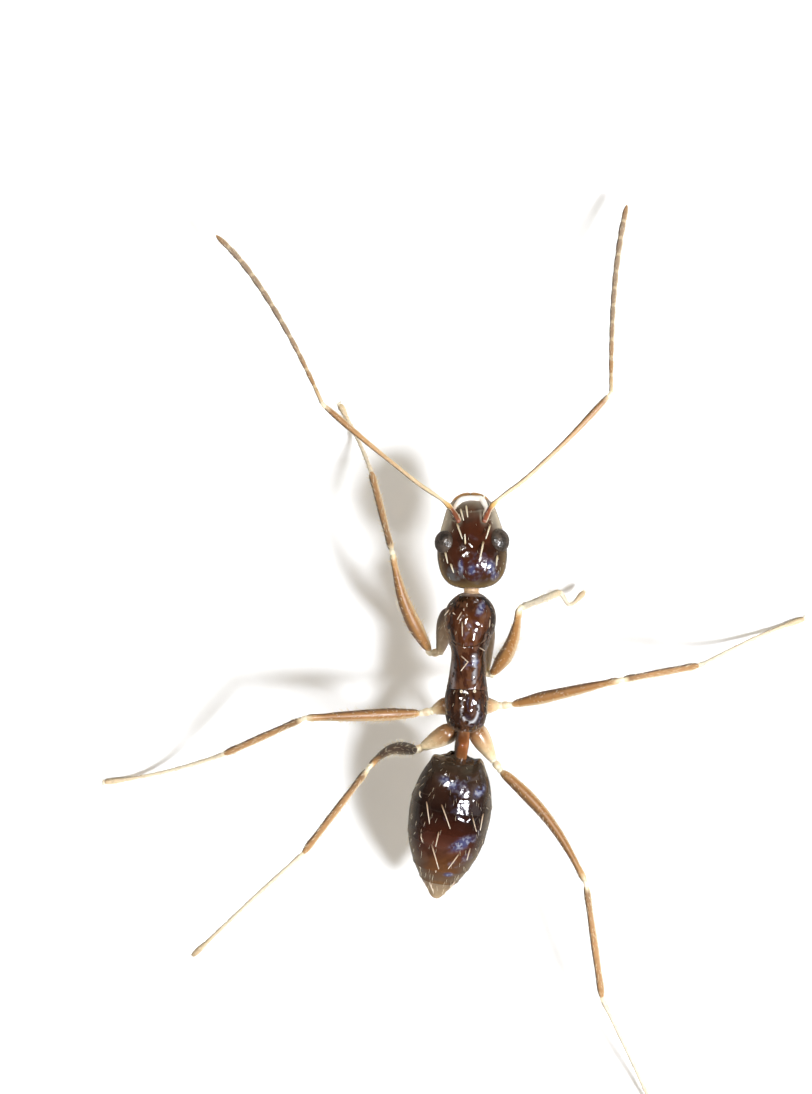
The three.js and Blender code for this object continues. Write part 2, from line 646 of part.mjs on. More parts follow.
const named = (name) => ant.getObjectByName(name);
const cut = (name, ...others) => fitAgainst(named(name), ...others.map(named));
cut('head', 'eye_left', 'eye_right');
cut('neck', 'head', 'pronotum');
cut('gaster_1', 'petiole');
cut('petiole', 'propodeum');
cut('mandible_left', 'head');
cut('mandible_right', 'head', 'mandible_left');
for (const name of ['left', 'right']) {
  cut(`palp_${name}`, 'head');
  cut(`scape_${name}`, 'head');
  cut(`coxa_front_${name}`, 'pronotum', 'mesothorax');
  cut(`coxa_middle_${name}`, 'mesothorax', 'propodeum');
  cut(`coxa_hind_${name}`, 'propodeum', 'petiole', `coxa_middle_${name}`);
}
cut('coxa_hind_right', 'coxa_hind_left');

// The origin moves to the middle of the ant's footprint, on the floor.
const bounds = new THREE.Box3().setFromObject(ant);
const centre = bounds.getCenter(new THREE.Vector3());
ant.position.set(-centre.x, -centre.y, -bounds.min.z);

export default ant;
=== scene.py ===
# %% [markdown]
# # A longhorn crazy ant at life size
# This lesson dresses a measured model of a small worker ant, 2.7 mm from jaws to tail tip.
# The measured model is a set of plain, faceted solids: a head, body plates, feelers and legs.
# We read the shape of each solid, lay a fine smooth skin over it, and give each skin the finish
# that a real ant has: glassy dark plates, amber legs, pale feet and long cream bristles.
# Everything is in metres. The ant looks along -Y, its left side is +X, and the floor is Z = 0.

# %% Load the measured model
import math

import bpy
import numpy as np
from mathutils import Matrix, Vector


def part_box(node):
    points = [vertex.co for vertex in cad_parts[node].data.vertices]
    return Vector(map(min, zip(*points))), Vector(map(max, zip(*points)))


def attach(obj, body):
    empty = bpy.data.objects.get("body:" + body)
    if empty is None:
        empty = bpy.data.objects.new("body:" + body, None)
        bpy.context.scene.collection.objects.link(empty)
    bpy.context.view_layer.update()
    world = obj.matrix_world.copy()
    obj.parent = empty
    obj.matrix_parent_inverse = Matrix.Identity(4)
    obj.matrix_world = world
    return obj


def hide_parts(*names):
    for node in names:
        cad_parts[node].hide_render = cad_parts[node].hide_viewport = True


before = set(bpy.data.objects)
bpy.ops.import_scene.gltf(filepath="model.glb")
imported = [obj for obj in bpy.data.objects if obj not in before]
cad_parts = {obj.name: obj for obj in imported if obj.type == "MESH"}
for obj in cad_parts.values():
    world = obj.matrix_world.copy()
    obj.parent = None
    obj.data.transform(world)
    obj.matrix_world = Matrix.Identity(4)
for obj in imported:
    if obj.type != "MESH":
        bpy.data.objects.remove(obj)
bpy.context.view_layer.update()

MM = 0.001  # lengths below are written in millimetres and turned into metres with this
print("solids:", len(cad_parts))

# %% [markdown]
# ## The camera
# The ant is seen from straight above, with its head towards the top of the frame. A very long
# lens far away keeps the view almost flat, so that high and low parts keep the same scale.
# We aim by the waist, the small piece between trunk and gaster, because it sits in the middle.

# %% Make the camera
def middle(node):
    """The middle of a solid's box."""
    low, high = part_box(node)
    return (low + high) / 2


VIEW_HEIGHT = 7.22 * MM     # what the frame takes in from top to bottom, at body height
BODY_HEIGHT = 0.9 * MM
AHEAD_OF_WAIST = 1.311 * MM  # the middle of the frame, seen from the waist
LEFT_OF_WAIST = 0.356 * MM
LENS, SENSOR = 500, 36       # a very long lens, before a sensor of the usual width

camera_data = bpy.data.cameras.new("camera")
camera_data.lens = LENS
camera_data.sensor_width = SENSOR
camera_distance = VIEW_HEIGHT * LENS / SENSOR
camera_data.clip_start = camera_distance * 0.2
camera_data.clip_end = camera_distance * 20
camera = bpy.data.objects.new("camera", camera_data)
bpy.context.scene.collection.objects.link(camera)
bpy.context.scene.camera = camera
waist = middle("petiole")
camera.location = (waist.x + LEFT_OF_WAIST, waist.y - AHEAD_OF_WAIST, BODY_HEIGHT + camera_distance)
camera.rotation_euler = (0, 0, math.pi)
print("camera distance in mm:", round(camera_distance / MM, 1))

# %% [markdown]
# ## The floor and the light
# The floor is a plain sheet of nearly white card. It is bright enough to turn pure white in open
# light, but its mirror image in the ant's glassy flanks is kept grey, so that they stay dark.
# Materials here are made of nodes, small boxes that each do one sum, joined by links. One helper
# adds a node and fills its inputs in a single call.

# %% Lay the floor
def add_node(tree, kind, inputs=None, **settings):
    """One shader node, with its settings, and its inputs given as values or as links."""
    node = tree.nodes.new("ShaderNode" + kind)
    for name, value in settings.items():
        setattr(node, name, value)
    for name, value in (inputs or {}).items():
        if isinstance(value, bpy.types.NodeSocket):
            tree.links.new(value, node.inputs[name])
        else:
            node.inputs[name].default_value = value
    return node


def new_material(name):
    """An empty node material: its node tree, and the output to join the shader to."""
    material = bpy.data.materials.new(name)
    material.use_nodes = True
    tree = material.node_tree
    tree.nodes.clear()
    return material, tree, tree.nodes.new("ShaderNodeOutputMaterial")


HALF_FLOOR = 0.3          # half the side of the sheet, in metres
FLOOR_DROP = 0.0005 * MM  # keeps the floor a hair below the feet
floor_mesh = bpy.data.meshes.new("floor")
around_floor = ((-1, -1), (1, -1), (1, 1), (-1, 1))
floor_mesh.from_pydata([(x * HALF_FLOOR, y * HALF_FLOOR, -FLOOR_DROP) for x, y in around_floor], [],
                       [(0, 1, 2, 3)])
floor = bpy.data.objects.new("floor", floor_mesh)
bpy.context.scene.collection.objects.link(floor)
card, tree, out = new_material("white_card")
grain = add_node(tree, "TexNoise", {"Vector": add_node(tree, "NewGeometry").outputs["Position"],
                                    "Scale": 400.0, "Detail": 3.0})
card_tone = add_node(tree, "MapRange", {"Value": grain.outputs["Fac"], "To Min": 0.93, "To Max": 0.96})
card_colour = add_node(tree, "CombineColor", dict.fromkeys(("Red", "Green", "Blue"), card_tone.outputs[0]))
shader = add_node(tree, "BsdfPrincipled", {"Base Color": card_colour.outputs[0], "Roughness": 0.9,
                                           "Specular IOR Level": 0.2})
CARD_IN_REFLECTIONS = (0.17, 0.17, 0.17, 1)
grey_card = add_node(tree, "BsdfDiffuse", {"Color": CARD_IN_REFLECTIONS})
seen_in_gloss = add_node(tree, "MixShader", {0: add_node(tree, "LightPath").outputs["Is Glossy Ray"],
                                             1: shader.outputs[0], 2: grey_card.outputs[0]})
tree.links.new(seen_in_gloss.outputs[0], out.inputs["Surface"])
floor_mesh.materials.append(card)
print("floor side in metres:", 2 * HALF_FLOOR)

# %% [markdown]
# A warm white sky fills the shadows. It is dark overhead, where the camera would be, so that the
# glassy plates keep their deep black, and the plates mirror only a small share of it.

# %% Set the sky
WARM_WHITE = (1.0, 0.93, 0.82, 1)
SKY_LOW, SKY_OVERHEAD = 0.87, 0.05  # the sky's brightness near the horizon and straight up
SKY_IN_REFLECTIONS = 0.11           # the share of it that the glassy plates mirror
world = bpy.data.worlds.new("sky")
world.use_nodes = True
bpy.context.scene.world = world
sky = world.node_tree
background = sky.nodes["Background"]
background.inputs["Color"].default_value = WARM_WHITE
way_up = add_node(sky, "SeparateXYZ", {0: add_node(sky, "TexCoord").outputs["Generated"]})
sky_strength = add_node(sky, "MapRange", {"Value": way_up.outputs["Z"], "From Min": 0.92, "From Max": 0.66,
                                          "To Min": SKY_OVERHEAD, "To Max": SKY_LOW},
                        interpolation_type="SMOOTHSTEP")
in_gloss = add_node(sky, "LightPath").outputs["Is Glossy Ray"]
gloss_share = add_node(sky, "MapRange", {"Value": in_gloss, "To Min": 1.0, "To Max": SKY_IN_REFLECTIONS})
sky_light = add_node(sky, "Math", {0: sky_strength.outputs[0], 1: gloss_share.outputs[0]},
                     operation="MULTIPLY")
sky.links.new(sky_light.outputs[0], background.inputs["Strength"])
print("sky, low and overhead:", SKY_LOW, SKY_OVERHEAD)

# %% [markdown]
# One soft box, the key, stands to the right of the ant's tail and throws soft shadows the other
# way. Four more show only in reflections, as a studio's white panels do. The shine widens the
# key's highlights, the top adds small ones, the glow behind the key rings them with violet blue,
# and the window is a faint, very large panel low on the right that draws out the sides.

# %% Set the lights
TRUNK_MIDDLE = middle("mesothorax")
KEY_WAY = (-0.70, 0.44, 1.36)
SOFT_BOXES = {  # direction, distance and sides in millimetres, brightness of the face, colour
    "key": (KEY_WAY, 110, (20, 18), 137.0, (0.90, 0.94, 1.0)),
    "shine": (KEY_WAY, 104, (25, 23), 60.0, (0.95, 0.97, 1.0)),
    "top": ((0.30, -0.16, 1.0), 100, (10, 10), 260.0, (1.0, 0.99, 0.97)),
    "glow": ((-0.55, 0.35, 1.2), 56, (34, 30), 1.1, (0.50, 0.52, 1.0)),
    "window": ((-1.0, 0.20, 0.50), 80, (60, 44), 0.7, (0.90, 0.93, 1.0)),
}
for name, (direction, distance, sides, brightness, colour) in SOFT_BOXES.items():
    data = bpy.data.lights.new(name, "AREA")
    data.shape = "RECTANGLE"
    data.size, data.size_y = (side * MM for side in sides)
    data.energy = brightness * (sides[0] * MM) * (sides[1] * MM) * math.pi
    data.color = colour
    light = bpy.data.objects.new(name, data)
    bpy.context.scene.collection.objects.link(light)
    towards = Vector(direction).normalized()
    light.location = Vector(TRUNK_MIDDLE) + towards * (distance * MM)
    light.rotation_euler = towards.to_track_quat("Z", "Y").to_euler()
    light.visible_diffuse = name == "key"  # the others show only in reflections

scene = bpy.context.scene
scene.view_settings.view_transform = "Standard"
scene.view_settings.look = "None"
scene.view_settings.exposure = 0.0
print("lights:", list(SOFT_BOXES))

# %% [markdown]
# ## Reading a solid ring by ring
# Each limb and plate of the measured model was lofted: rings of corners from one end to the
# other, with a single corner closing each end. Starting at that closing corner and stepping
# from edge to edge, each step reaches exactly one ring. So we can take the rings back out of
# the solid without knowing how it was made, and the skins always fit the measured shapes.

# %% Take the rings out of a solid
SAME_PLACE = 1e-9  # corners closer than this are one


def unit(vector):
    """A vector of length one in the same direction."""
    return np.asarray(vector, float) / np.linalg.norm(vector)


def units(rows):
    """The same for each row of an array."""
    return rows / np.linalg.norm(rows, axis=1, keepdims=True)


def net_of(node):
    """A solid's corners, each once, and the corners that each shares an edge with."""
    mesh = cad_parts[node].data
    places = {}
    index = []
    for vertex in mesh.vertices:
        index.append(places.setdefault(tuple(round(c / SAME_PLACE) for c in vertex.co), len(places)))
    joined = [set() for _ in places]
    for face in mesh.polygons:
        loop = [index[v] for v in face.vertices]
        for a, b in zip(loop, loop[1:] + loop[:1]):
            joined[a].add(b)
            joined[b].add(a)
    return np.array(list(places), float) * SAME_PLACE, joined


def walk(joined, start):
    """The corners in layers, each layer one edge further from the start."""
    layer, seen, layers = {start}, {start}, []
    while layer:
        layers.append(sorted(layer))
        layer = {n for corner in layer for n in joined[corner]} - seen
        seen |= layer
    return layers


def even_run(layers):
    """The layers up to the first one that doesn't hold as many corners as the second."""
    even = 1
    while even < len(layers) and len(layers[even]) == len(layers[1]):
        even += 1
    closed = even == len(layers) - 1 and len(layers[even]) == 1
    return layers[: even + closed]


ALMOST_ALONG = 0.95           # a mark that points along the limb says nothing about the turn round it,
ANOTHER_WAY = (0.3, 1.0, 0.2)  # so this direction stands in for it


def in_order(ring, forward, mark):
    """A ring's corners in turn about the way forward, from the one that lies most towards the mark."""
    centre = ring.mean(axis=0)
    if abs(np.dot(unit(mark), forward)) < ALMOST_ALONG:
        across = unit(np.cross(forward, mark))
    else:
        across = unit(np.cross(forward, ANOTHER_WAY))
    above = np.cross(forward, across)
    angles = np.arctan2((ring - centre) @ above, (ring - centre) @ across)
    ring = ring[np.argsort(angles)]
    return np.roll(ring, -int(np.argmax((ring - centre) @ unit(mark))), axis=0)


def matched(ring, last):
    """The ring turned so that its corners lie nearest to those of the last ring."""
    shift = last.mean(axis=0) - ring.mean(axis=0)
    gaps = [np.sum((np.roll(ring, turn, axis=0) + shift - last) ** 2) for turn in range(len(ring))]
    return np.roll(ring, int(np.argmin(gaps)), axis=0)


FEWEST_SPOKES = 6  # a closing corner shares edges with at least so many others


def rings_of(node, near, mark=(1, 0, 0)):
    """A lofted solid's rings, from the end that is nearest to a point."""
    points, joined = net_of(node)
    runs = [even_run(walk(joined, c)) for c in range(len(points)) if len(joined[c]) >= FEWEST_SPOKES]
    longest = max(sum(map(len, run)) for run in runs)
    runs = [run for run in runs if sum(map(len, run)) == longest]
    near = np.array(near)
    run = min(runs, key=lambda r: np.linalg.norm(points[r[0][0]] - near))
    raw = [points[layer] for layer in run]
    rings = []
    for i, ring in enumerate(raw):
        if len(ring) > 1:
            forward = unit(raw[min(i + 1, len(raw) - 1)].mean(axis=0) - raw[i - 1].mean(axis=0))
            ring = in_order(ring, forward, mark)
            if rings and len(rings[-1]) > 1:
                ring = matched(ring, rings[-1])
        rings.append(ring)
    return rings


thigh_rings = rings_of("femur_front_left", middle("trochanter_front_left"))
print("corners in each ring of a thigh:", [len(ring) for ring in thigh_rings])

# %% [markdown]
# ## A smooth skin through the rings
# A cubic spline is the curve that a thin, springy strip of wood takes when it is held at a few
# points. It bends evenly, which matters here: on a glassy surface every kink shows as a broken
# reflection. We run such curves round each ring and then along the limb from ring to ring. Where
# an end closes in a point, the curves carry on through it to the other side, so it stays round.

# %% Spline a grid through the rings
def spline(knots, values, at):
    """A curve of even curvature through the values at the knots, read at other places."""
    knots, values, at = (np.asarray(x, float) for x in (knots, values, at))
    step = np.diff(knots)
    count = len(knots)
    flat = values.reshape(count, -1)
    left_side, right_side = np.eye(count), np.zeros_like(flat)
    for i in range(1, count - 1):
        left_side[i, i - 1 : i + 2] = step[i - 1], 2 * (step[i - 1] + step[i]), step[i]
        slopes = (flat[i + 1] - flat[i]) / step[i] - (flat[i] - flat[i - 1]) / step[i - 1]
        right_side[i] = 6 * slopes
    bend = np.linalg.solve(left_side, right_side)
    i = np.clip(np.searchsorted(knots, at) - 1, 0, count - 2)
    gap = step[i][:, None]
    before, after = (knots[i + 1] - at)[:, None], (at - knots[i])[:, None]
    curve = (bend[i] * before**3 + bend[i + 1] * after**3) / (6 * gap)
    curve += (flat[i] / gap - bend[i] * gap / 6) * before
    curve += (flat[i + 1] / gap - bend[i + 1] * gap / 6) * after
    return curve.reshape((len(at),) + values.shape[1:])


def round_the_ring(ring, around):
    """A ring's curve at more places than it has corners."""
    pad = 6
    wrapped = np.concatenate([ring[-pad:], ring, ring[:pad]])
    return spline(np.arange(-pad, len(ring) + pad), wrapped, np.arange(around) * len(ring) / around)


def is_flat(pole, ring, following):
    """True where a closing corner lies in its ring's own plane, so that the end is cut flat."""
    normal = unit(following.mean(axis=0) - ring.mean(axis=0))
    size = np.linalg.norm(ring - ring.mean(axis=0), axis=1).mean()
    return abs(np.dot(pole - ring.mean(axis=0), normal)) < 0.02 * size


def crowded(count, crowd):
    """Steps from 0 to 1 that crowd near both ends: evenly spaced at 0, and most crowded at 1."""
    steps = np.linspace(0, 1, count)
    eased = (1 - np.cos(math.pi * steps)) / 2
    return crowd * eased + (1 - crowd) * steps


def smooth_grid(rings, around, along, crowd=0.6, slack=1.0):
    """A fine grid of points through the rings, with more rows near both ends.

    A slack of 0.5 keeps the curve from swelling where short and long steps meet."""
    rings = list(rings)
    for end, beyond in ((0, rings[1:3]), (-1, rings[-2:-4:-1])):
        if len(rings[end]) == 1 and is_flat(rings[end][0], *beyond):
            rings.pop(end)
    fine = [round_the_ring(r, around) if len(r) > 1 else np.repeat(r, around, axis=0) for r in rings]
    gaps = [np.linalg.norm(b - a, axis=1).mean() for a, b in zip(fine, fine[1:])]
    knots = np.concatenate([[0], np.cumsum(np.array(gaps) ** slack)])
    total = knots[-1]
    half_turn = around // 2
    if len(rings[0]) == 1:
        fine = [np.roll(fine[i], half_turn, axis=0) for i in (2, 1)] + fine
        knots = np.concatenate([[-knots[2], -knots[1]], knots])
    if len(rings[-1]) == 1:
        fine += [np.roll(fine[i], half_turn, axis=0) for i in (-2, -3)]
        knots = np.concatenate([knots, [2 * total - knots[-2], 2 * total - knots[-3]]])
    return spline(knots, np.array(fine), total * crowded(along, crowd))


def normals_of(grid):
    """The way out of the skin at each point of a grid."""
    way_along = np.gradient(grid, axis=0)
    way_round = np.roll(grid, -1, axis=1) - np.roll(grid, 1, axis=1)
    out = np.cross(way_round, way_along)
    size = np.linalg.norm(out, axis=2, keepdims=True)
    out = out / np.maximum(size, 1e-30)
    for row, inner in ((0, 1), (-1, -2)):
        if size[row].max() < 1e-3 * size[inner].max():
            out[row] = unit(out[inner].mean(axis=0) + 1e-12)
    return out


def raised(grid, heights):
    """The grid moved out along its normals by a height for each point, or one for each row."""
    if heights.ndim == 1:
        heights = heights[:, None]
    return grid + normals_of(grid) * heights[..., None]


thigh_grid = smooth_grid(thigh_rings, 48, 90)
print("rows, points in a row and axes of a thigh's grid:", thigh_grid.shape)

# %% [markdown]
# ## From a grid to a mesh
# A mesh needs corners and faces. Each square of the grid becomes one face, and a row that has
# closed in a point becomes a fan. Every corner also keeps how far along the piece it lies, from
# 0 at the root to 1 at the tip, so that a finish can pale towards a joint or darken in a band.

# %% Make a piece from a grid
def share_along(grid):
    """How far along its length each row of a grid lies, from 0 to 1."""
    steps = np.linalg.norm(np.diff(grid.mean(axis=1), axis=0), axis=1)
    reach = np.concatenate([[0], np.cumsum(steps)])
    return reach / reach[-1]


def wide_rows(grid):
    """True for each row of a grid that hasn't closed in a point."""
    return np.ptp(grid, axis=1).max(axis=1) >= SAME_PLACE


def grid_mesh(grid, reach=None):
    """Corners, faces and the share along of a grid, with closed rows as single corners."""
    corners, faces, share, starts = [], [], [], []
    rows, around = grid.shape[:2]
    reach = share_along(grid) if reach is None else reach
    wide = wide_rows(grid)
    for i, row in enumerate(grid):
        starts.append(len(corners))
        corners += list(row) if wide[i] else [row[0]]
        share += [reach[i]] * (around if wide[i] else 1)
    for i in range(rows - 1):
        a, b = starts[i], starts[i + 1]
        for j in range(around):
            k = (j + 1) % around
            if wide[i] and wide[i + 1]:
                faces.append((a + j, a + k, b + k, b + j))
            elif wide[i]:
                faces.append((a + j, a + k, b))
            elif wide[i + 1]:
                faces.append((a, b + k, b + j))
    return np.array(corners), faces, np.array(share)


def joined_meshes(parts):
    """Several (corners, faces, share) as one."""
    corners, faces, share = [], [], []
    count = 0
    for part_corners, part_faces, part_share in parts:
        faces += [tuple(v + count for v in face) for face in part_faces]
        corners.append(part_corners)
        share.append(part_share)
        count += len(part_corners)
    return np.concatenate(corners), faces, np.concatenate(share)


def make_piece(name, parts, material, replaces=()):
    """A smooth piece from one or more (corners, faces, share), in its finish and on the ant."""
    corners, faces, share = joined_meshes(parts)
    corners[:, 2] = np.maximum(corners[:, 2], 0.0)  # nothing reaches below the feet's flats
    mesh = bpy.data.meshes.new(name)
    mesh.from_pydata([tuple(c) for c in corners], [], faces)
    mesh.polygons.foreach_set("use_smooth", [True] * len(faces))
    mesh.attributes.new("along", "FLOAT", "POINT").data.foreach_set("value", share)
    mesh.materials.append(material)
    mesh.update()
    piece = bpy.data.objects.new(name, mesh)
    bpy.context.scene.collection.objects.link(piece)
    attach(piece, "root")
    if replaces:
        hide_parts(*replaces)
    return piece


print("a thigh's corners and faces:", *[len(part) for part in grid_mesh(thigh_grid)[:2]])

# %% [markdown]
# Two helpers work on a finished grid. One rounds an open end over and closes it, as the rim of a
# real plate turns in. The other finds the skin's height at a place that we only know in plan,
# which is how bristles and rims find the surface they stand on.

# %% Close a skin and find its top
def tucked(grid, end, rim, collar=0.0):
    """A grid with its open end rounded over by a rim and closed. End is 0 for first, -1 for last.

    A collar carries the narrowed end further, into the next piece, so that no gap opens."""
    ring = grid[end]
    centre = ring.mean(axis=0)
    outward = unit(centre - grid[1 if end == 0 else -2].mean(axis=0))
    spokes = units(ring - centre)
    rows = []
    for angle in np.radians([30, 60, 90]):
        rows.append(ring - spokes * rim * (1 - math.cos(angle)) + outward * rim * math.sin(angle))
    if collar:
        rows.append(rows[-1] + outward * collar)
    rows.append(np.repeat(rows[-1].mean(axis=0)[None], len(ring), axis=0))
    rows = np.array(rows)
    return np.concatenate([rows[::-1], grid]) if end == 0 else np.concatenate([grid, rows])


def closed(grid, rim):
    """A grid with both open ends rounded over and closed."""
    return tucked(tucked(grid, 0, rim), -1, rim)


NEAR_IN_PLAN = 0.012 * MM


def on_top(grid, x, y, lift):
    """The point of a skin that lies highest near a place in plan, raised along the skin's normal."""
    points = grid.reshape(-1, 3)
    away = np.hypot(points[:, 0] - x, points[:, 1] - y)
    near = away < away.min() + NEAR_IN_PLAN
    best = np.argmax(np.where(near, points[:, 2] - 0.5 * away, -1))
    return points[best] + normals_of(grid).reshape(-1, 3)[best] * lift


thigh_middle = middle("femur_front_left")
print("top of a thigh in mm:", np.round(on_top(thigh_grid, thigh_middle.x, thigh_middle.y, 0.0) / MM, 3))

# %% [markdown]
# A finish can read any number that is kept at the corners. Besides the share along the piece, a
# limb keeps how far each corner faces sideways, towards the key light or away from it, so that its
# finish paints it pale on the lit side and dark behind: painted light and painted shade.

# %% Keep values at the corners
LIGHT_ACROSS = np.array([-0.847, 0.532, 0.0])  # which way the key light lies, in plan


def keep(piece, name, values):
    """Keep a value at each corner of a piece, for its finish to read."""
    piece.data.attributes.new(name, "FLOAT", "POINT").data.foreach_set("value", values)


def keep_from_grid(piece, name, grid, values):
    """The same from values on the one grid that the piece was made from."""
    rows = zip(values, wide_rows(grid))
    keep(piece, name, np.concatenate([row if is_wide else row[:1] for row, is_wide in rows]))


def mark_sides(piece, grid):
    """Keep how far each corner faces sideways: 1 on the light's side, -1 on the other."""
    across = np.cross(np.gradient(grid.mean(axis=1), axis=0), (0, 0, 1.0))
    across /= np.maximum(np.linalg.norm(across, axis=1, keepdims=True), 1e-12)
    across *= np.where(across @ LIGHT_ACROSS < 0, -1, 1)[:, None]
    rows = share_along(grid)
    count = len(piece.data.vertices)
    normals = np.zeros(count * 3)
    piece.data.vertices.foreach_get("normal", normals)
    shares = np.zeros(count)
    piece.data.attributes["along"].data.foreach_get("value", shares)
    here = np.stack([np.interp(shares, rows, across[:, i]) for i in range(3)], axis=1)
    keep(piece, "beside", np.sum(here * normals.reshape(-1, 3), axis=1))


skins = {}  # the grid of each skin, kept for planting bristles


def make_skin(part, name, look, replaced, sided=True):
    """A piece from one kept skin, in place of one solid."""
    piece = make_piece(name, [grid_mesh(skins[part])], look, [replaced])
    if sided:
        mark_sides(piece, skins[part])
    return piece


print("the light lies this way in plan:", LIGHT_ACROSS)

# %% [markdown]
# ## Glints
# Where dark varnish mirrors a bright window at a slant, thin layers in it turn the reflection
# steel blue, and fine wrinkles stretch it into a patch. Here that reflection is painted: the skin's
# colour turns steel blue in the patch. Lights alone would put these patches in slightly different
# places on each smooth plate. So we name the largest painted reflections in plan, and keep at each
# corner of the head, the trunk and the gaster how deep it lies inside one of them.
# A soft-edged oval does it. Its fourth power gives a flat middle and a quick fall at the edge.

# %% Mark the glints
WAIST_ASIDE = 0.018 * MM  # the waist stands this far to the ant's left of the line the tables count from
waist_start = np.array([waist.x - WAIST_ASIDE, waist.y, 0])
# Each painted glint, a steel-blue painted reflection, in millimetres from the head's middle or from
# the waist: aside, back, half its width, half its length, and its lean in degrees.
HEAD_PAINTED_GLINTS = [
    (-0.116, 0.160, 0.034, 0.045, 0),
    (-0.151, 0.217, 0.030, 0.034, 0),
    (0.002, 0.178, 0.024, 0.030, 0),
    (0.077, 0.158, 0.016, 0.050, 0),
]
TRUNK_PAINTED_GLINTS = [
    (-0.084, -0.546, 0.022, 0.030, 0),
    (-0.119, -0.904, 0.024, 0.050, -20),
]
GASTER_PAINTED_GLINTS = [
    (0.088, 0.243, 0.066, 0.030, -25),
    (-0.113, 0.298, 0.050, 0.028, 50),
    (0.006, 0.649, 0.084, 0.034, 27),
    (0.094, 0.854, 0.030, 0.014, 0),
]


def upper_side(grid):
    """True at each corner of a grid that faces upward."""
    return normals_of(grid)[..., 2] > 0


def mark_painted_glints(piece, grid, spots, start):
    """Keep how strongly each corner lies in one of the painted steel-blue reflections of the upper side."""
    across, back = [(grid[..., i] - start[i]) / MM for i in (0, 1)]
    value = np.zeros(across.shape)
    for x, y, wide, long, lean in spots:
        turn = math.radians(lean)
        beside = (across - x) * math.cos(turn) + (back - y) * math.sin(turn)
        behind = (back - y) * math.cos(turn) - (across - x) * math.sin(turn)
        value = np.maximum(value, np.exp(-(((beside / wide) ** 2 + (behind / long) ** 2) ** 2)))
    keep_from_grid(piece, "painted_glint", grid, value * upper_side(grid))


print("glints:", len(HEAD_PAINTED_GLINTS), len(TRUNK_PAINTED_GLINTS), len(GASTER_PAINTED_GLINTS))

# %% [markdown]
# ## The finishes
# Insect skin, called cuticle, is a hard clear varnish over a pigment. Thick plates look nearly
# black with a red-brown glow, and thin rims and legs let the light through and turn amber.
# Each finish is built from the piece's own shape: noise in true millimetres for the uneven
# pigment, the share along the piece for bands and pale joints, the way the surface faces for the
# pale, see-through flanks, and the values kept at its corners. Nothing depends on the camera.

# %% Shared shader helpers
def in_mm(tree):
    """The place on the ant, in millimetres."""
    place = add_node(tree, "NewGeometry").outputs["Position"]
    return add_node(tree, "VectorMath", {0: place, "Scale": 1 / MM}, operation="SCALE").outputs[0]


def noise(tree, per_mm, detail, low=0.35, high=0.65, distortion=0.0, squeeze=(1, 1, 1)):
    """Soft blotches of a given fineness, from 0 to 1. A squeeze under 1 draws them out along an axis."""
    place = add_node(tree, "VectorMath", {0: in_mm(tree), 1: squeeze}, operation="MULTIPLY").outputs[0]
    blotch = add_node(tree, "TexNoise", {"Vector": place, "Scale": per_mm, "Detail": detail,
                                         "Distortion": distortion})
    return between(tree, blotch.outputs["Fac"], low, high)


def between(tree, value, low, high, start=0.0, end=1.0):
    """A value's place between low and high, eased, as a share from start to end."""
    return add_node(tree, "MapRange", {"Value": value, "From Min": low, "From Max": high, "To Min": start,
                                       "To Max": end}, interpolation_type="SMOOTHSTEP").outputs[0]


def mixed(tree, share, first, second):
    """Two colours mixed by a share."""
    node = add_node(tree, "Mix", data_type="RGBA")
    for socket, value in (("Factor_Float", share), ("A_Color", first), ("B_Color", second)):
        target = next(s for s in node.inputs if s.identifier == socket)
        if isinstance(value, bpy.types.NodeSocket):
            tree.links.new(value, target)
        else:
            target.default_value = value if isinstance(value, float) else (*value, 1)
    return next(s for s in node.outputs if s.identifier == "Result_Color")


def worked(tree, operation, first, second):
    """A sum, difference or other result of two values."""
    return add_node(tree, "Math", {0: first, 1: second}, operation=operation).outputs[0]


def times(tree, *values):
    """Values multiplied together."""
    product = values[0]
    for value in values[1:]:
        product = worked(tree, "MULTIPLY", product, value)
    return product


def facing(tree, low, high, direction=(0, 0, 1)):
    """How far the surface faces a fixed direction, from 0 at low to 1 at high."""
    normal = add_node(tree, "NewGeometry").outputs["Normal"]
    turned = add_node(tree, "VectorMath", {0: normal, 1: direction}, operation="DOT_PRODUCT")
    return between(tree, turned.outputs["Value"], low, high)


def kept(tree, name):
    """A value kept at the corners: the share along, how far a corner faces sideways, and so on."""
    return add_node(tree, "Attribute", attribute_name=name).outputs["Fac"]


def banded(tree, stops):
    """Colours that follow one another along the piece: (share, colour) pairs."""
    ramp = add_node(tree, "ValToRGB", {"Fac": kept(tree, "along")})
    points = ramp.color_ramp.elements
    while len(points) < len(stops):
        points.new(0.5)
    for point, (share, colour) in zip(points, stops):
        point.position, point.color = share, (*colour, 1)
    return ramp.outputs["Color"]


def bumped(tree, height, depth, **under):
    """A normal that follows fine relief of a given depth in millimetres, over another if one is given."""
    inputs = {"Height": height, "Strength": 1.0, "Distance": depth * MM, **under}
    return add_node(tree, "Bump", inputs).outputs[0]


def finish(tree, out, colour, roughness, **others):
    """The skin shader itself, joined to the output. Its other inputs are named with _ for a space."""
    named = {name.replace("_", " "): value for name, value in others.items()}
    shader = add_node(tree, "BsdfPrincipled", {"Base Color": colour, "Roughness": roughness, **named})
    tree.links.new(shader.outputs[0], out.inputs["Surface"])


print("a finish can use noise, the way a surface faces, bands, relief and kept values")
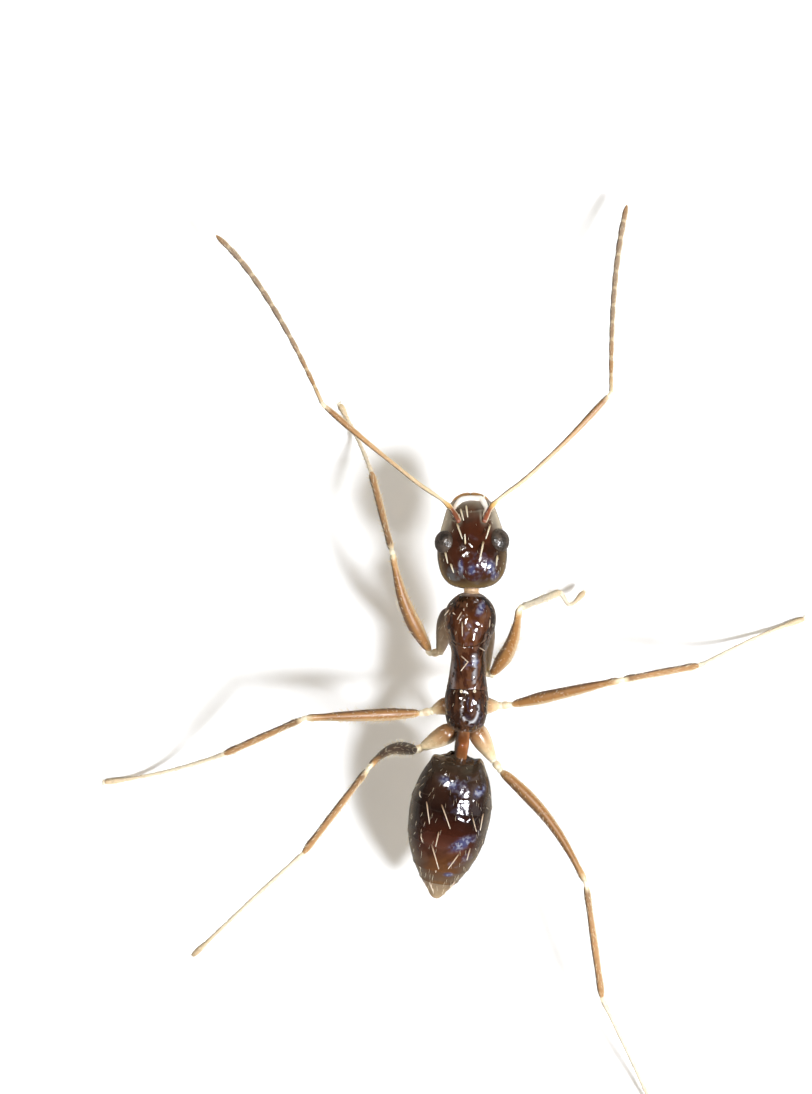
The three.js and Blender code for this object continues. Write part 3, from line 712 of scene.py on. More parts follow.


# %% [markdown]
# ### Glassy plates
# The head, trunk and gaster are the darkest and shiniest parts. The pigment is nearly black.
# Painted light gives it a red-brown glow on the crown, where light would go straight in, and paints
# the sideways flanks a pale grey olive, for the bright floor mirrored in them and light through the
# thin edges. Very fine wrinkles break each highlight into small bright chips, which come from relief
# at two sizes. Beside them a violet blue like a thin film of oil is painted into the colour, as a
# painted reflection: small patches lie by chance on the side that faces the light, and large ones
# where a value kept at the corners marks them. A second kept value marks two light grey painted
# gleams on the trunk. Noise eats into the edge of each painted patch, so that none is even.

# %% Plate finish
LIGHT_SIDE = Vector((-0.42, 0.22, 1.0)).normalized()  # half way between the key light and up
STREAK = (0.16, 0.066, 0.030)        # thinner skin, drawn out in streaks along the trunk
# painted reflections: the violet blue and the steel grey painted into the plates' colour
REFLECTED_VIOLET_BLUE = (0.055, 0.059, 0.138)
REFLECTED_STEEL = (0.24, 0.26, 0.35)
# painted reflection: a soft grey sheen painted where the crown faces one way
PAINTED_SHEEN = (0.095, 0.098, 0.100)        # a soft grey patch on the crown
# painted reflection: the light grey of the gleams painted on the trunk
PAINTED_GLEAM = (0.52, 0.52, 0.55)


def plate_finish(name, colours, glow, flank, flank_span, painted_blue_share=0.22, streak_share=0.0,
                 dull_flank=0.0, painted_sheen_way=None, fold_depth=0.0034):
    """Dark glassy cuticle, with colours along the piece, painted light on its crown and flanks, and painted
    reflections.
    """
    material, tree, out = new_material(name)
    colour = banded(tree, colours)
    # painted light: upward-facing skin takes the glow colours, as if light went in through the crown
    painted_lit_crown = times(tree, facing(tree, 0.45, 0.92), noise(tree, 5.0, 3.0, 0.22, 0.56))
    colour = mixed(tree, painted_lit_crown, colour, banded(tree, glow))
    # painted reflection: violet blue painted in small patches round the key light's mirror direction, and
    # in the large glints kept at the corners
    painted_halo = times(tree, facing(tree, 0.70, 0.86, LIGHT_SIDE), facing(tree, 0.995, 0.93, LIGHT_SIDE))
    patch = times(tree, noise(tree, 5.5, 2.0, 0.57, 0.63), noise(tree, 20.0, 2.0, 0.42, 0.54))
    painted_reflection = mixed(tree, noise(tree, 40.0, 1.0, 0.48, 0.64), REFLECTED_VIOLET_BLUE, REFLECTED_STEEL)
    streaks = times(tree, noise(tree, 26.0, 3.0, 0.46, 0.60, squeeze=(1, 0.30, 1)), streak_share)
    colour = mixed(tree, streaks, colour, STREAK)
    colour = mixed(tree, times(tree, painted_halo, patch, painted_blue_share), colour, painted_reflection)
    painted_glint = times(tree, kept(tree, "painted_glint"), noise(tree, 20.0, 2.0, 0.36, 0.46), 0.9)
    colour = mixed(tree, painted_glint, colour, painted_reflection)
    # painted light: sideways-facing skin is painted the pale flank colours, for the bright floor mirrored
    # in it and light through thin edges; the same mask also roughens it
    turned_away = worked(tree, "SUBTRACT", 1.0, facing(tree, *flank_span))
    away = times(tree, turned_away, noise(tree, 8.0, 2.0, 0.05, 0.45))
    colour = mixed(tree, away, colour, banded(tree, flank))
    # painted reflection: a grey sheen painted where the skin faces the given way
    if painted_sheen_way:
        painted_sheen = facing(tree, 0.94, 0.985, Vector(painted_sheen_way).normalized())
        painted_sheen = times(tree, painted_sheen, noise(tree, 12.0, 3.0, 0.4, 0.6), 0.8)
        colour = mixed(tree, painted_sheen, colour, PAINTED_SHEEN)
    # painted reflection: pale grey gleams where they were kept at the corners
    painted_gleam = times(tree, kept(tree, "painted_gleam"), noise(tree, 30.0, 2.0, 0.36, 0.48))
    colour = mixed(tree, painted_gleam, colour, PAINTED_GLEAM)
    folds = bumped(tree, noise(tree, 14.0, 1.0, 0.3, 0.7, 0.4), fold_depth)
    fine = add_node(tree, "TexVoronoi", {"Vector": in_mm(tree), "Scale": 80.0},
                    feature="DISTANCE_TO_EDGE")
    cells = bumped(tree, between(tree, fine.outputs["Distance"], 0.0, 0.3), 0.00016, Normal=folds)
    roughness = between(tree, noise(tree, 24.0, 3.0), 0.0, 1.0, 0.07, 0.14)
    roughness = worked(tree, "ADD", roughness, times(tree, turned_away, dull_flank))
    finish(tree, out, colour, roughness, Normal=cells, Specular_IOR_Level=0.5, Coat_Weight=0.28,
           Coat_Roughness=0.05, Coat_Normal=folds)
    return material


print("the glints face:", [round(c, 2) for c in LIGHT_SIDE])

# %% [markdown]
# Each plate names three runs of colour from front to rear: the pigment, the painted light of the
# crown and the painted light of the flanks. The gaster's crown goes from black to rust and tan,
# because its rear plates are thinner, and the cheeks in front of the eyes are nearly clear and are
# painted pale on their sideways faces.

# %% Plate colours
NIGHT = (0.007, 0.0035, 0.0025)      # the darkest pigment
EARTH = (0.014, 0.006, 0.003)
# painted light: the red-brown of a crown that light goes into
OXBLOOD = (0.062, 0.015, 0.005)      # the red-brown glow of a crown
OLIVE_GREY = (0.16, 0.125, 0.088)
# painted light: the pale cheek colour shows only on sideways faces, as part of the flank's painted light
GENA = (0.56, 0.48, 0.36)            # the pale cheek in front of each eye

head_finish = plate_finish(
    "head_shell", [(0, NIGHT), (1, NIGHT)],
    [(0, (0.19, 0.12, 0.065)), (0.17, (0.10, 0.040, 0.018)), (0.30, OXBLOOD), (1, (0.045, 0.014, 0.007))],
    [(0, (0.22, 0.15, 0.11)), (0.18, GENA), (0.40, GENA), (0.52, (0.09, 0.060, 0.040)),
     (0.70, (0.16, 0.10, 0.045)), (1, (0.17, 0.11, 0.045))],
    flank_span=(0.25, 0.92), painted_blue_share=0.12, painted_sheen_way=(0.40, 0.42, 0.81))
COLLAR = (0.42, 0.33, 0.28)          # the pale front edge round the neck
# painted light on the trunk's sideways flanks
TRUNK_FLANK = [(0, (0.24, 0.17, 0.12)), (1, (0.26, 0.18, 0.125))]
TRUNK_LOOKS = {  # pigment, glow, and how much of the small blue patches and of the streaks shows
    "pronotum": ([(0, COLLAR), (0.045, COLLAR), (0.09, NIGHT), (1, EARTH)],
                 [(0, COLLAR), (0.045, COLLAR), (0.095, (0.070, 0.020, 0.007)), (1, (0.075, 0.022, 0.007))],
                 0.25, 0.5),
    "mesothorax": ([(0, NIGHT), (1, EARTH)], [(0, (0.056, 0.016, 0.006)), (1, (0.044, 0.014, 0.006))],
                   0.25, 0.5),
    "propodeum": ([(0, NIGHT), (1, EARTH)], [(0, (0.040, 0.013, 0.006)), (1, (0.026, 0.010, 0.005))],
                  0.15, 0.3),
}
trunk_finishes = {}
for name, (pigment, glow, painted_blue_share, streak_share) in TRUNK_LOOKS.items():
    trunk_finishes[name] = plate_finish(f"{name}_shell", pigment, glow, TRUNK_FLANK, (0.0, 0.55),
                                        painted_blue_share, streak_share, dull_flank=0.15, fold_depth=0.0055)
gaster_finish = plate_finish(
    "gaster_shell",
    [(0, (0.045, 0.034, 0.022)), (0.14, NIGHT), (0.40, NIGHT), (0.62, (0.030, 0.010, 0.007)),
     (1, (0.10, 0.065, 0.04))],
    [(0, (0.048, 0.026, 0.014)), (0.16, (0.034, 0.014, 0.008)), (0.30, (0.016, 0.0055, 0.0035)),
     (0.45, (0.038, 0.008, 0.003)), (0.56, (0.088, 0.030, 0.018)), (0.66, (0.120, 0.043, 0.012)),
     (0.77, (0.130, 0.054, 0.020)), (0.90, (0.20, 0.115, 0.050)), (1, (0.26, 0.16, 0.08))],
    [(0, (0.045, 0.022, 0.011)), (0.10, (0.07, 0.042, 0.025)), (0.25, OLIVE_GREY), (0.5, OLIVE_GREY),
     (1, (0.24, 0.17, 0.095))],
    flank_span=(0.14, 0.76))
print("plate finishes:", [m.name for m in (head_finish, *trunk_finishes.values(), gaster_finish)])

# %% [markdown]
# ### Amber limbs
# A leg is a thin clear tube with darker muscle inside. Looking down on it, the middle is brown,
# and each joint is nearly white. The edge towards the light is painted pale, as light through the
# wall would make it, and the edge behind is painted dark as shade. So the colour follows the share
# along the limb, and a second value kept at every corner says how far it faces sideways, towards
# the light or away from it.

# %% Limb finish
# painted shade: the dark of a limb's edge that faces away from the light
PAINTED_SHADE_TONE = (0.070, 0.058, 0.050)


def limb_finish(name, stops, edge, edge_share=0.7, gloss=0.42, streak=0.35, soft=0.08, shade_share=0.8,
                beads=0):
    """Amber cuticle with colours along the limb, painted light on the edge towards the light and painted
    shade on the one behind.
    """
    material, tree, out = new_material(name)
    colour = banded(tree, stops)
    dark = mixed(tree, 0.45, colour, (0.02, 0.01, 0.005))
    colour = mixed(tree, times(tree, noise(tree, 30.0, 3.0, 0.4, 0.7), streak), colour, dark)
    if beads:
        beat = worked(tree, "PINGPONG", times(tree, kept(tree, "along"), float(beads)), 0.5)
        colour = mixed(tree, between(tree, beat, 0.13, 0.05, 0.0, 0.55), colour, edge)
    # painted light and shade: pale where the limb faces the light, dark where it faces away
    beside = kept(tree, "beside")
    painted_lit_edge = times(tree, between(tree, beside, 0.5, 0.95), edge_share)
    painted_shade_edge = times(tree, between(tree, beside, -0.30, -0.85), shade_share)
    colour = mixed(tree, painted_lit_edge, colour, edge)
    colour = mixed(tree, painted_shade_edge, colour, PAINTED_SHADE_TONE)
    relief = bumped(tree, noise(tree, 110.0, 2.0, 0.3, 0.7), 0.0004)
    finish(tree, out, colour, gloss, Normal=relief, Specular_IOR_Level=0.4, Coat_Weight=0.06,
           Coat_Roughness=0.2, Subsurface_Weight=soft, Subsurface_Radius=(1.0, 0.55, 0.25),
           Subsurface_Scale=0.02 * MM)
    return material


# the painted shade of the edge away from the light
print("the edge behind is painted_dark:", PAINTED_SHADE_TONE)

# %% [markdown]
# The colours run from nearly white at a joint through straw and amber to brown. Two limbs differ
# from their kind: the left hind thigh is steep and is painted dark as its own shade, and the right
# front shin is paler. The whip of each feeler has a light ring at every bead.

# %% Limb colours
CREAM = (0.86, 0.76, 0.56)
STRAW = (0.76, 0.61, 0.38)
AMBER = (0.52, 0.28, 0.10)
GREY_STRAW = (0.56, 0.48, 0.36)
BROWN = (0.36, 0.168, 0.050)
TAN = (0.46, 0.25, 0.105)
DUSK = (0.075, 0.040, 0.022)
SMOKE = (0.035, 0.020, 0.012)

PEARL = (0.82, 0.72, 0.55)
CHESTNUT = (0.17, 0.075, 0.028)
RUST = (0.27, 0.075, 0.028)
GOLD = (0.74, 0.42, 0.10)
GREY_BROWN = (0.38, 0.27, 0.18)
IVORY = (0.90, 0.85, 0.78)

LIMB_LOOKS = {  # the colours along the limb, the edge towards the light, and what else is special
    "front_coxa": ([(0, DUSK), (0.25, (0.32, 0.22, 0.14)), (0.8, (0.46, 0.34, 0.23)), (1, STRAW)],
                   (0.42, 0.34, 0.26), {"edge_share": 0.5, "soft": 0.2}),
    "coxa": ([(0, CHESTNUT), (0.25, (0.38, 0.19, 0.075)), (0.5, (0.58, 0.38, 0.20)), (0.85, STRAW),
              (1, CREAM)], CREAM, {"edge_share": 0.6, "soft": 0.2, "gloss": 0.25, "shade_share": 0.35}),
    "trochanter": ([(0, CREAM), (0.5, STRAW), (1, CREAM)], CREAM, {"shade_share": 0.2}),
    "femur": ([(0, STRAW), (0.04, AMBER), (0.10, BROWN), (0.80, BROWN), (0.93, AMBER), (0.975, STRAW),
               (1, CREAM)], STRAW, {"edge_share": 0.55, "shade_share": 0.6}),
    # painted shade: the steep left hind thigh is painted dark as if in its own shade
    "steep_femur": ([(0, STRAW), (0.04, DUSK), (0.12, SMOKE), (0.80, DUSK), (0.97, AMBER), (1, CREAM)],
                    STRAW, {"edge_share": 0.15}),
    "pale_tibia": ([(0, CREAM), (0.05, GREY_STRAW), (0.5, GREY_STRAW), (0.95, STRAW), (1, CREAM)],
                   CREAM, {"shade_share": 0.4}),
    "tibia": ([(0, CREAM), (0.03, STRAW), (0.07, (0.30, 0.17, 0.08)), (0.35, TAN), (0.90, TAN),
               (0.97, AMBER), (1, CREAM)], STRAW, {}),
    "tarsus": ([(0, PEARL), (0.5, PEARL), (0.8, (0.74, 0.60, 0.40)), (1, (0.62, 0.46, 0.27))],
               CREAM, {"edge_share": 0.5, "shade_share": 0.45}),
    "claw": ([(0, CREAM), (1, CREAM)], CREAM, {"shade_share": 0.0}),
    "scape": ([(0, RUST), (0.09, RUST), (0.12, GOLD), (0.17, STRAW), (0.7, AMBER), (0.95, BROWN),
               (1, STRAW)], CREAM, {}),
    "funiculus": ([(0, STRAW), (0.1, TAN), (0.4, GREY_BROWN), (0.9, GREY_BROWN), (1, TAN)],
                  STRAW, {"edge_share": 0.6, "beads": 11}),
    "palp": ([(0, STRAW), (1, CREAM)], CREAM, {}),
    "jaw": ([(0, CHESTNUT), (0.4, AMBER), (0.85, AMBER), (1, DUSK)], AMBER, {"edge_share": 0.6}),
    "petiole_shell": ([(0, CHESTNUT), (0.5, (0.24, 0.070, 0.020)), (1, CHESTNUT)],
                      (0.36, 0.14, 0.05), {"edge_share": 0.8, "gloss": 0.2, "shade_share": 0.95}),
    # painted highlight: the face's rim is coloured nearly white where it shines
    "face_rim_highlight": ([(0, (0.66, 0.52, 0.40)), (0.15, IVORY), (0.75, IVORY), (1, (0.60, 0.42, 0.28))],
                 (0.85, 0.78, 0.70), {"edge_share": 0.4, "gloss": 0.2, "streak": 0.08, "shade_share": 0.0}),
    "joint_sleeve": ([(0, CREAM), (1, CREAM)], CREAM, {}),
    "neck_membrane": ([(0, (0.38, 0.19, 0.08)), (0.40, (0.56, 0.36, 0.19)), (1, (0.62, 0.42, 0.25))],
                      STRAW, {"edge_share": 0.3, "shade_share": 0.0}),
    "gaster_tip": ([(0, (0.22, 0.15, 0.09)), (0.5, (0.30, 0.21, 0.12)), (1, (0.42, 0.30, 0.17))],
                   (0.36, 0.27, 0.16), {"edge_share": 0.5}),
}
looks = {name: limb_finish(name, stops, edge, **other) for name, (stops, edge, other) in LIMB_LOOKS.items()}
print("limb finishes:", list(looks))

# %% [markdown]
# ### Eyes and bristles
# The eyes are packed lenses over a black pigment, so they look like dark, slightly dull glass.
# The bristles are clear hollow hairs that scatter the light and look cream against the dark body.

# %% Eye and bristle finishes
EYE_BLACK = (0.020, 0.013, 0.009)
EYE_BLOOM = (0.090, 0.065, 0.048)


def eye_finish():
    """Black pigment under clear lenses, with a smoky grey bloom."""
    material, tree, out = new_material("eye")
    colour = mixed(tree, noise(tree, 22.0, 2.0), EYE_BLACK, EYE_BLOOM)
    finish(tree, out, colour, 0.34, Specular_IOR_Level=0.5, Coat_Weight=0.25, Coat_Roughness=0.25)
    return material


def bristle_finish(name, root, middle, tip):
    """Nearly clear hair, a little darker at its root."""
    material, tree, out = new_material(name)
    colour = banded(tree, [(0, root), (0.25, middle), (1, tip)])
    finish(tree, out, colour, 0.35, Specular_IOR_Level=0.5, Coat_Weight=0.2)
    return material


eye_glass = eye_finish()
bristle = bristle_finish("setae", (0.42, 0.28, 0.13), (0.80, 0.68, 0.46), (0.92, 0.86, 0.70))
tan_bristle = bristle_finish("tan_setae", (0.30, 0.17, 0.09), (0.60, 0.44, 0.30), (0.82, 0.70, 0.56))
print("finishes:", len(bpy.data.materials))

# %% [markdown]
# ## The head
# The head gets the most care. Its solid was cut to make room for the eyes, so its rings can't be
# found by stepping along edges. But they still lie in planes across the head's own axis: the
# corners fall into groups by their distance along it, and the whole groups are the whole rings.
# The eyes give the axis: the line through both runs across the head, and the head nods a little.

# %% The head's own frame
HEAD_NOD = math.radians(12)  # the face looks down by this much

eye_middles = [np.array(middle(f"eye_{side}")) for side in ("left", "right")]
head_across = unit(eye_middles[0] - eye_middles[1])
head_up_plain = np.array([0, 0, 1.0])
head_back_level = unit(np.cross(head_up_plain, head_across))
head_back = math.cos(HEAD_NOD) * head_back_level + math.sin(HEAD_NOD) * head_up_plain
head_up = np.cross(head_across, head_back)
EYE_BACK, EYE_UP = 0.030, 0.103  # the eyes, behind and above the head's middle, in millimetres
head_origin = (eye_middles[0] + eye_middles[1]) / 2 - (head_back * EYE_BACK + head_up * EYE_UP) * MM


def on_head(across, back, up):
    """A point given in millimetres from the head's middle: to its left, back and up."""
    return head_origin + (head_across * across + head_back * back + head_up * up) * MM


def in_head(points):
    """Points as millimetres across, back and up from the head's middle."""
    axes = (head_across, head_back, head_up)
    return np.stack([(points - head_origin) @ axis / MM for axis in axes], axis=-1)


SAME_LEVEL = 0.0004 * MM  # corners this close along a direction belong to one ring


def level_rings(node, direction, mark, corners, spare=0):
    """The whole rings of a cut solid, with its two end corners, along a direction.

    Up to a few spare corners, which a cut left on the same level, are dropped from a ring's inside."""
    points, _ = net_of(node)
    reach = points @ direction
    order = np.argsort(reach)
    groups = np.split(order, np.flatnonzero(np.diff(reach[order]) > SAME_LEVEL) + 1)
    rings = []
    for group in (points[g] for g in groups if corners <= len(g) <= corners + spare):
        middle_of_group = (group.min(axis=0) + group.max(axis=0)) / 2
        outermost = np.argsort(-np.linalg.norm(group - middle_of_group, axis=1))[:corners]
        rings.append(in_order(group[outermost], direction, mark))
    if len(groups[0]) == 1:
        rings.insert(0, points[groups[0]])
    if len(groups[-1]) == 1:
        rings.append(points[groups[-1]])
    return rings


print("head middle in mm:", np.round(head_origin / MM, 3))
print("the head's way back:", np.round(head_back, 3))

# %% [markdown]
# The face has relief that the plain solid leaves out: two shallow sockets for the feelers with a
# low ridge inside each, a fine seam round the shield above the mouth, a hair-thin line up the
# middle of the brow, and a low rim round the nape. We raise and lower the smooth skin along its
# normals with three shapes: an oval bump, a bell across a line, and a ramp that fades both out.

# %% Carve the face
def bell(away, width):
    """1 on a line, falling smoothly to nothing over the width to either side."""
    return np.exp(-((away / width) ** 2))


def ramp(value, start, reach):
    """0 up to a start, rising to 1 over the reach."""
    return np.clip((value - start) / reach, 0, 1)


def bump_at(points, centre, widths):
    """1 at a centre, falling smoothly to nothing over the widths across and back."""
    away = sum(((points[..., i] - centre[i]) / widths[i]) ** 2 for i in range(2))
    return np.exp(-away)


def head_relief(local):
    """The height of the face's relief in millimetres, on its upper side."""
    across, back, up = local[..., 0], local[..., 1], local[..., 2]
    height = np.zeros(across.shape)
    for side in (1, -1):
        height -= 0.012 * bump_at(local, (side * 0.092, -0.125), (0.026, 0.040))
        height += 0.006 * bump_at(local, (side * 0.052, -0.125), (0.010, 0.045))
        height += 0.005 * bump_at(local, (side * 0.124, -0.100), (0.016, 0.030))
    height += 0.008 * bump_at(local, (0, -0.225), (0.050, 0.040))
    seam = back + 0.172 + 2.2 * across**2
    height -= 0.0015 * bell(seam, 0.008) * (np.abs(across) < 0.09)
    nape = np.hypot(across / 0.100, (back - 0.12) / 0.175)
    height += 0.0030 * bell(nape - 1, 0.05) * ramp(back, 0.12, 0.05)
    height -= 0.002 * (bell(across, 0.004) * ramp(-back, 0, 0.05) * ramp(back, -0.16, 0.03))
    return height * ramp(up, -0.02, 0.05)


HEAD_CORNERS = 24  # in each ring of the head's solid
head_grid = smooth_grid(level_rings("head", head_back, head_across, HEAD_CORNERS), 144, 180)
head_grid = raised(head_grid, head_relief(in_head(head_grid)) * MM)
skins["head"] = head_grid
head = make_skin("head", "head_skin", head_finish, "head", sided=False)
# keep where the painted steel-blue reflections lie on the head
mark_painted_glints(head, head_grid, HEAD_PAINTED_GLINTS, middle("head"))
print("head faces:", len(head.data.polygons))

# %% [markdown]
# ## The eyes
# An ant's eye is a dome of about a hundred lenses packed like honeycomb. We scatter lens centres
# evenly over the dome with a sunflower spiral, and swell the surface around each centre.

# %% Make the eyes
LENSES = 190          # over the whole ball; under half of it shows
LENS_SWELL = 0.0022 * MM


def sunflower(count):
    """Points spread evenly over a unit ball."""
    turn = np.arange(count) * math.pi * (3 - math.sqrt(5))
    height = 1 - 2 * (np.arange(count) + 0.5) / count
    level = np.sqrt(1 - height**2)
    return np.stack([level * np.cos(turn), level * np.sin(turn), height], axis=1)


def eye_grid(side):
    """The smooth dome of an eye with its lenses swelling from it."""
    node = f"eye_{side}"
    rings = rings_of(node, middle("head"), mark=(0, 0, 1))
    grid = smooth_grid(rings, 96, 72, crowd=0.4)
    centre = np.array(middle(node))
    ways = (grid - centre) / np.linalg.norm(grid - centre, axis=2, keepdims=True)
    nearest = (ways @ sunflower(LENSES).T).max(axis=2)
    spacing = math.sqrt(4 * math.pi / LENSES) / 2
    swell = 1 - np.clip(np.arccos(np.clip(nearest, -1, 1)) / spacing, 0, 1) ** 2
    return raised(grid, swell * LENS_SWELL)


for side in ("left", "right"):
    make_piece(f"eye_{side}_lenses", [grid_mesh(eye_grid(side))], eye_glass, [f"eye_{side}"])
print("lenses on each ball:", LENSES)

# %% [markdown]
# ## Tubes
# Many small parts are tubes that follow a curved path: jaws, claws, hips, sleeves, the base of a
# feeler. One helper sweeps a ring along a path. It needs the points of the path, and the radius
# at a few shares of its length. Domed ends come from shrinking the last rings as on a ball.

# %% Sweep a tube along a path
def swept(points, radii, around, along, flatten=1.0, lie=(0, 0, 1), domed=True):
    """A grid round a path. Radii are (share, radius) pairs; flatten thins it along the lie."""
    points = np.array(points, float)
    knots = np.concatenate([[0], np.cumsum(np.linalg.norm(np.diff(points, axis=0), axis=1))])
    shares = crowded(along, 0.7)
    path = spline(knots, points, shares * knots[-1])
    size = spline(*np.array(radii, float).T, shares)
    if domed:
        for share_left, radius in ((shares, size[0]), (1 - shares, size[-1])):
            inside = np.clip(share_left * knots[-1] / radius, 0, 1)
            size = size * np.sqrt(1 - (1 - inside) ** 2)
    forward = units(np.gradient(path, axis=0))
    across = units(np.cross(forward, np.array(lie, float)))
    above = np.cross(forward, across)
    angle = (np.arange(around) / around * 2 * math.pi)[None, :, None]
    ring = np.cos(angle) * across[:, None] + np.sin(angle) * above[:, None] * flatten
    return path[:, None] + ring * size[:, None, None]


def in_metres(radii):
    """(share, radius) pairs from millimetres."""
    return [(share, radius * MM) for share, radius in radii]


def curve_through(start, corner, end, count=7):
    """Points on a smooth bend from start to end that leans towards a corner."""
    t = np.linspace(0, 1, count)[:, None]
    return (1 - t) ** 2 * start + 2 * t * (1 - t) * corner + t**2 * end


print("a bend from 0 to 1:", np.round(curve_through(0.0, 0.8, 1.0, 5).ravel(), 2))

# %% [markdown]
# ## Jaws and mouth feelers
# The two jaws fold across the front of the face, each a flattened curved blade with a row of
# small teeth on its inner edge. Below the head hang two jointed mouth feelers, called palps.

# %% Make the jaws and the palps
JAW_TEETH = 5
JAW_RADII = [(0, 0.034), (0.45, 0.039), (0.8, 0.037), (1, 0.032)]
PALP_JOINTS = 6
PALP_RADII = [(0, 0.011), (0.6, 0.009), (1, 0.005)]


def jaw_parts(side):
    """One jaw with its teeth."""
    path = curve_through(on_head(side * 0.108, -0.190, -0.082), on_head(side * 0.114, -0.302, -0.072),
                         on_head(side * -0.016, -0.306, -0.074 + side * 0.004))
    parts = [grid_mesh(swept(path, in_metres(JAW_RADII), 40, 60, flatten=0.8, lie=head_up))]
    for i in range(JAW_TEETH):
        share = 0.55 + 0.42 * i / (JAW_TEETH - 1)
        root = spline(np.linspace(0, 1, len(path)), path, [share])[0]
        inner = unit(on_head(0, -0.255, -0.080) - root)
        size = (0.010 + 0.004 * i / JAW_TEETH) * MM
        reach = (0.030 - 0.016 * (share - 0.55)) * MM
        tooth = [root + inner * far for far in (reach * 0.3, reach * 0.8, reach + size * 0.9)]
        radii = [(0, size * 0.8), (0.5, size * 0.55), (1, size * 0.12)]
        parts.append(grid_mesh(swept(tooth, radii, 12, 10, lie=head_up)))
    return parts


def palp_grid(side):
    """One mouth feeler, narrow at each joint."""
    path = curve_through(on_head(side * 0.045, -0.165, -0.155), on_head(side * 0.085, -0.075, -0.260),
                         on_head(side * 0.070, 0.120, -0.232), 9)
    grid = swept(path, in_metres(PALP_RADII), 16, 90)
    fullness = np.abs(np.sin(math.pi * PALP_JOINTS * share_along(grid))) ** 0.6
    return raised(grid, (fullness - 0.75) * 0.003 * MM)


SIDES = {"left": 1, "right": -1}
for name, side in SIDES.items():
    make_piece(f"jaw_{name}", jaw_parts(side), looks["jaw"], [f"mandible_{name}"])
    make_piece(f"mouth_feeler_{name}", [grid_mesh(palp_grid(side))], looks["palp"], [f"palp_{name}"])
print("teeth on each jaw:", JAW_TEETH)

# %% [markdown]
# The shield above the mouth, the clypeus, ends in a thick clear rim that shines nearly white.
# It runs as an arch across the front of the face, and on one side it goes back beside the feeler's
# socket. It is a slim tube laid half inside the head's skin, and its near-white colour is a painted
# highlight: the rim is real, and its shine is painted on.

# %% Lay the rim of the face
def on_face(across, back, lift=0.0):
    """A point on top of the head's skin, from a place in plan in millimetres, lifted by millimetres."""
    place = head_origin + np.array([across, back, 0]) * MM
    return on_top(head_grid, place[0], place[1], lift * MM)


RIM_STATIONS = [  # across and back from the head's middle, from the ant's left round to its right
    (0.117, -0.212), (0.112, -0.229), (0.099, -0.250), (0.076, -0.272), (0.044, -0.298), (0.008, -0.311),
    (-0.032, -0.306), (-0.064, -0.282), (-0.087, -0.252), (-0.098, -0.220), (-0.094, -0.190),
    (-0.080, -0.158)]
rim_path = np.array([on_face(across, back, 0.003) for across, back in RIM_STATIONS])
for _ in range(3):  # the rim bridges the small hollows of the skin
    rim_path[1:-1, 2] = (rim_path[:-2, 2] + 2 * rim_path[1:-1, 2] + rim_path[2:, 2]) / 4
RIM_RADII = [(0, 0.010), (0.12, 0.017), (0.45, 0.0215), (0.75, 0.018), (1, 0.009)]
rim_grid = swept(rim_path, in_metres(RIM_RADII), 20, 110)
# the rim's near-white colour is a painted highlight
make_piece("face_rim_highlight", [grid_mesh(rim_grid)], looks["face_rim_highlight"])
print("points on the rim's path:", len(rim_path))

# %% [markdown]
# ## The trunk
# Three plates follow each other: the pronotum like a collar, the narrow middle, and the propodeum
# above the hind legs. Where the measured plates end in a flat cut we round the edge over, so that
# the seam between two plates shows as a groove, as it does on the ant. The seam behind the
# pronotum is curved: we bend both plates there by the same amount, so they still meet.
# A groove runs down each side of the middle plate's back, and a low ridge shaped like a horseshoe
# round the rear slope. Pale gleams are painted on the ridge and on the sides of the middle plate, as
# painted reflections, and where they lie is kept at the corners.

# %% Make the trunk plates
SEAM_BEND = 0.038 * MM   # how far back the middle of the seam behind the pronotum reaches
SEAM_REACH = 0.10 * MM   # how far in front and behind the plates follow the bend


def bent_at_seam(grid):
    """The grid with its upper side carried back near the seam, most at the middle."""
    across = (grid[..., 0] - TRUNK_MIDDLE.x) / (0.10 * MM)
    seam_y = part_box("pronotum")[1].y
    near = np.clip(1 - ((grid[..., 1] - seam_y) / SEAM_REACH) ** 2, 0, 1) ** 2
    height = grid[..., 2] - grid[..., 2].mean(axis=1, keepdims=True)
    upper = np.clip(height / (0.08 * MM), -0.3, 1)
    shift = SEAM_BEND * near * upper * np.clip(1 - across**2, -0.6, 1)
    return grid + shift[..., None] * np.array([0, 1.0, 0])


def aside(grid):
    """How far each corner lies to the ant's left of the trunk's middle, in millimetres."""
    return (grid[..., 0] - TRUNK_MIDDLE.x) / MM


def horseshoe(grid):
    """How near each corner lies to the ridge that runs round the rear slope, open to the front."""
    back = (grid[..., 1] - grid[..., 1].min()) / MM
    ring = np.hypot((aside(grid) + 0.014) / 0.056, (back - 0.150) / 0.100)
    return bell(ring - 1, 0.11) * ramp(back, 0.10, 0.05) * upper_side(grid)


def painted_side_gleam(grid):
    """How near each corner lies to the painted gleam on the middle plate's right, and the faint one on its
    left.
    """
    share = share_along(grid)[:, None]
    right = 0.6 * bell(aside(grid) + 0.044, 0.013) * (ramp(share, 0.22, 0.10) * ramp(0.88 - share, 0, 0.10))
    left = 0.3 * bell(aside(grid) - 0.098, 0.014) * ramp(share, 0.35, 0.20)
    return (right + left) * upper_side(grid)


RELIEF_HEIGHT = 0.0040 * MM  # of the grooves and of the ridge


def trunk_relief(grid, node):
    """The grooves beside the back of the middle plate, and the ridge round the rear slope."""
    share = share_along(grid)[:, None]
    height = np.zeros(grid.shape[:2])
    if node == "mesothorax":
        for side in (1, -1):
            bow = side * (0.060 + 0.016 * np.cos(math.pi * share))
            height -= bell(aside(grid) - bow, 0.007) * np.clip(np.sin(math.pi * share), 0, 1)
    if node == "propodeum":
        height += horseshoe(grid)
    return height * (normals_of(grid)[..., 2] > 0.2) * RELIEF_HEIGHT


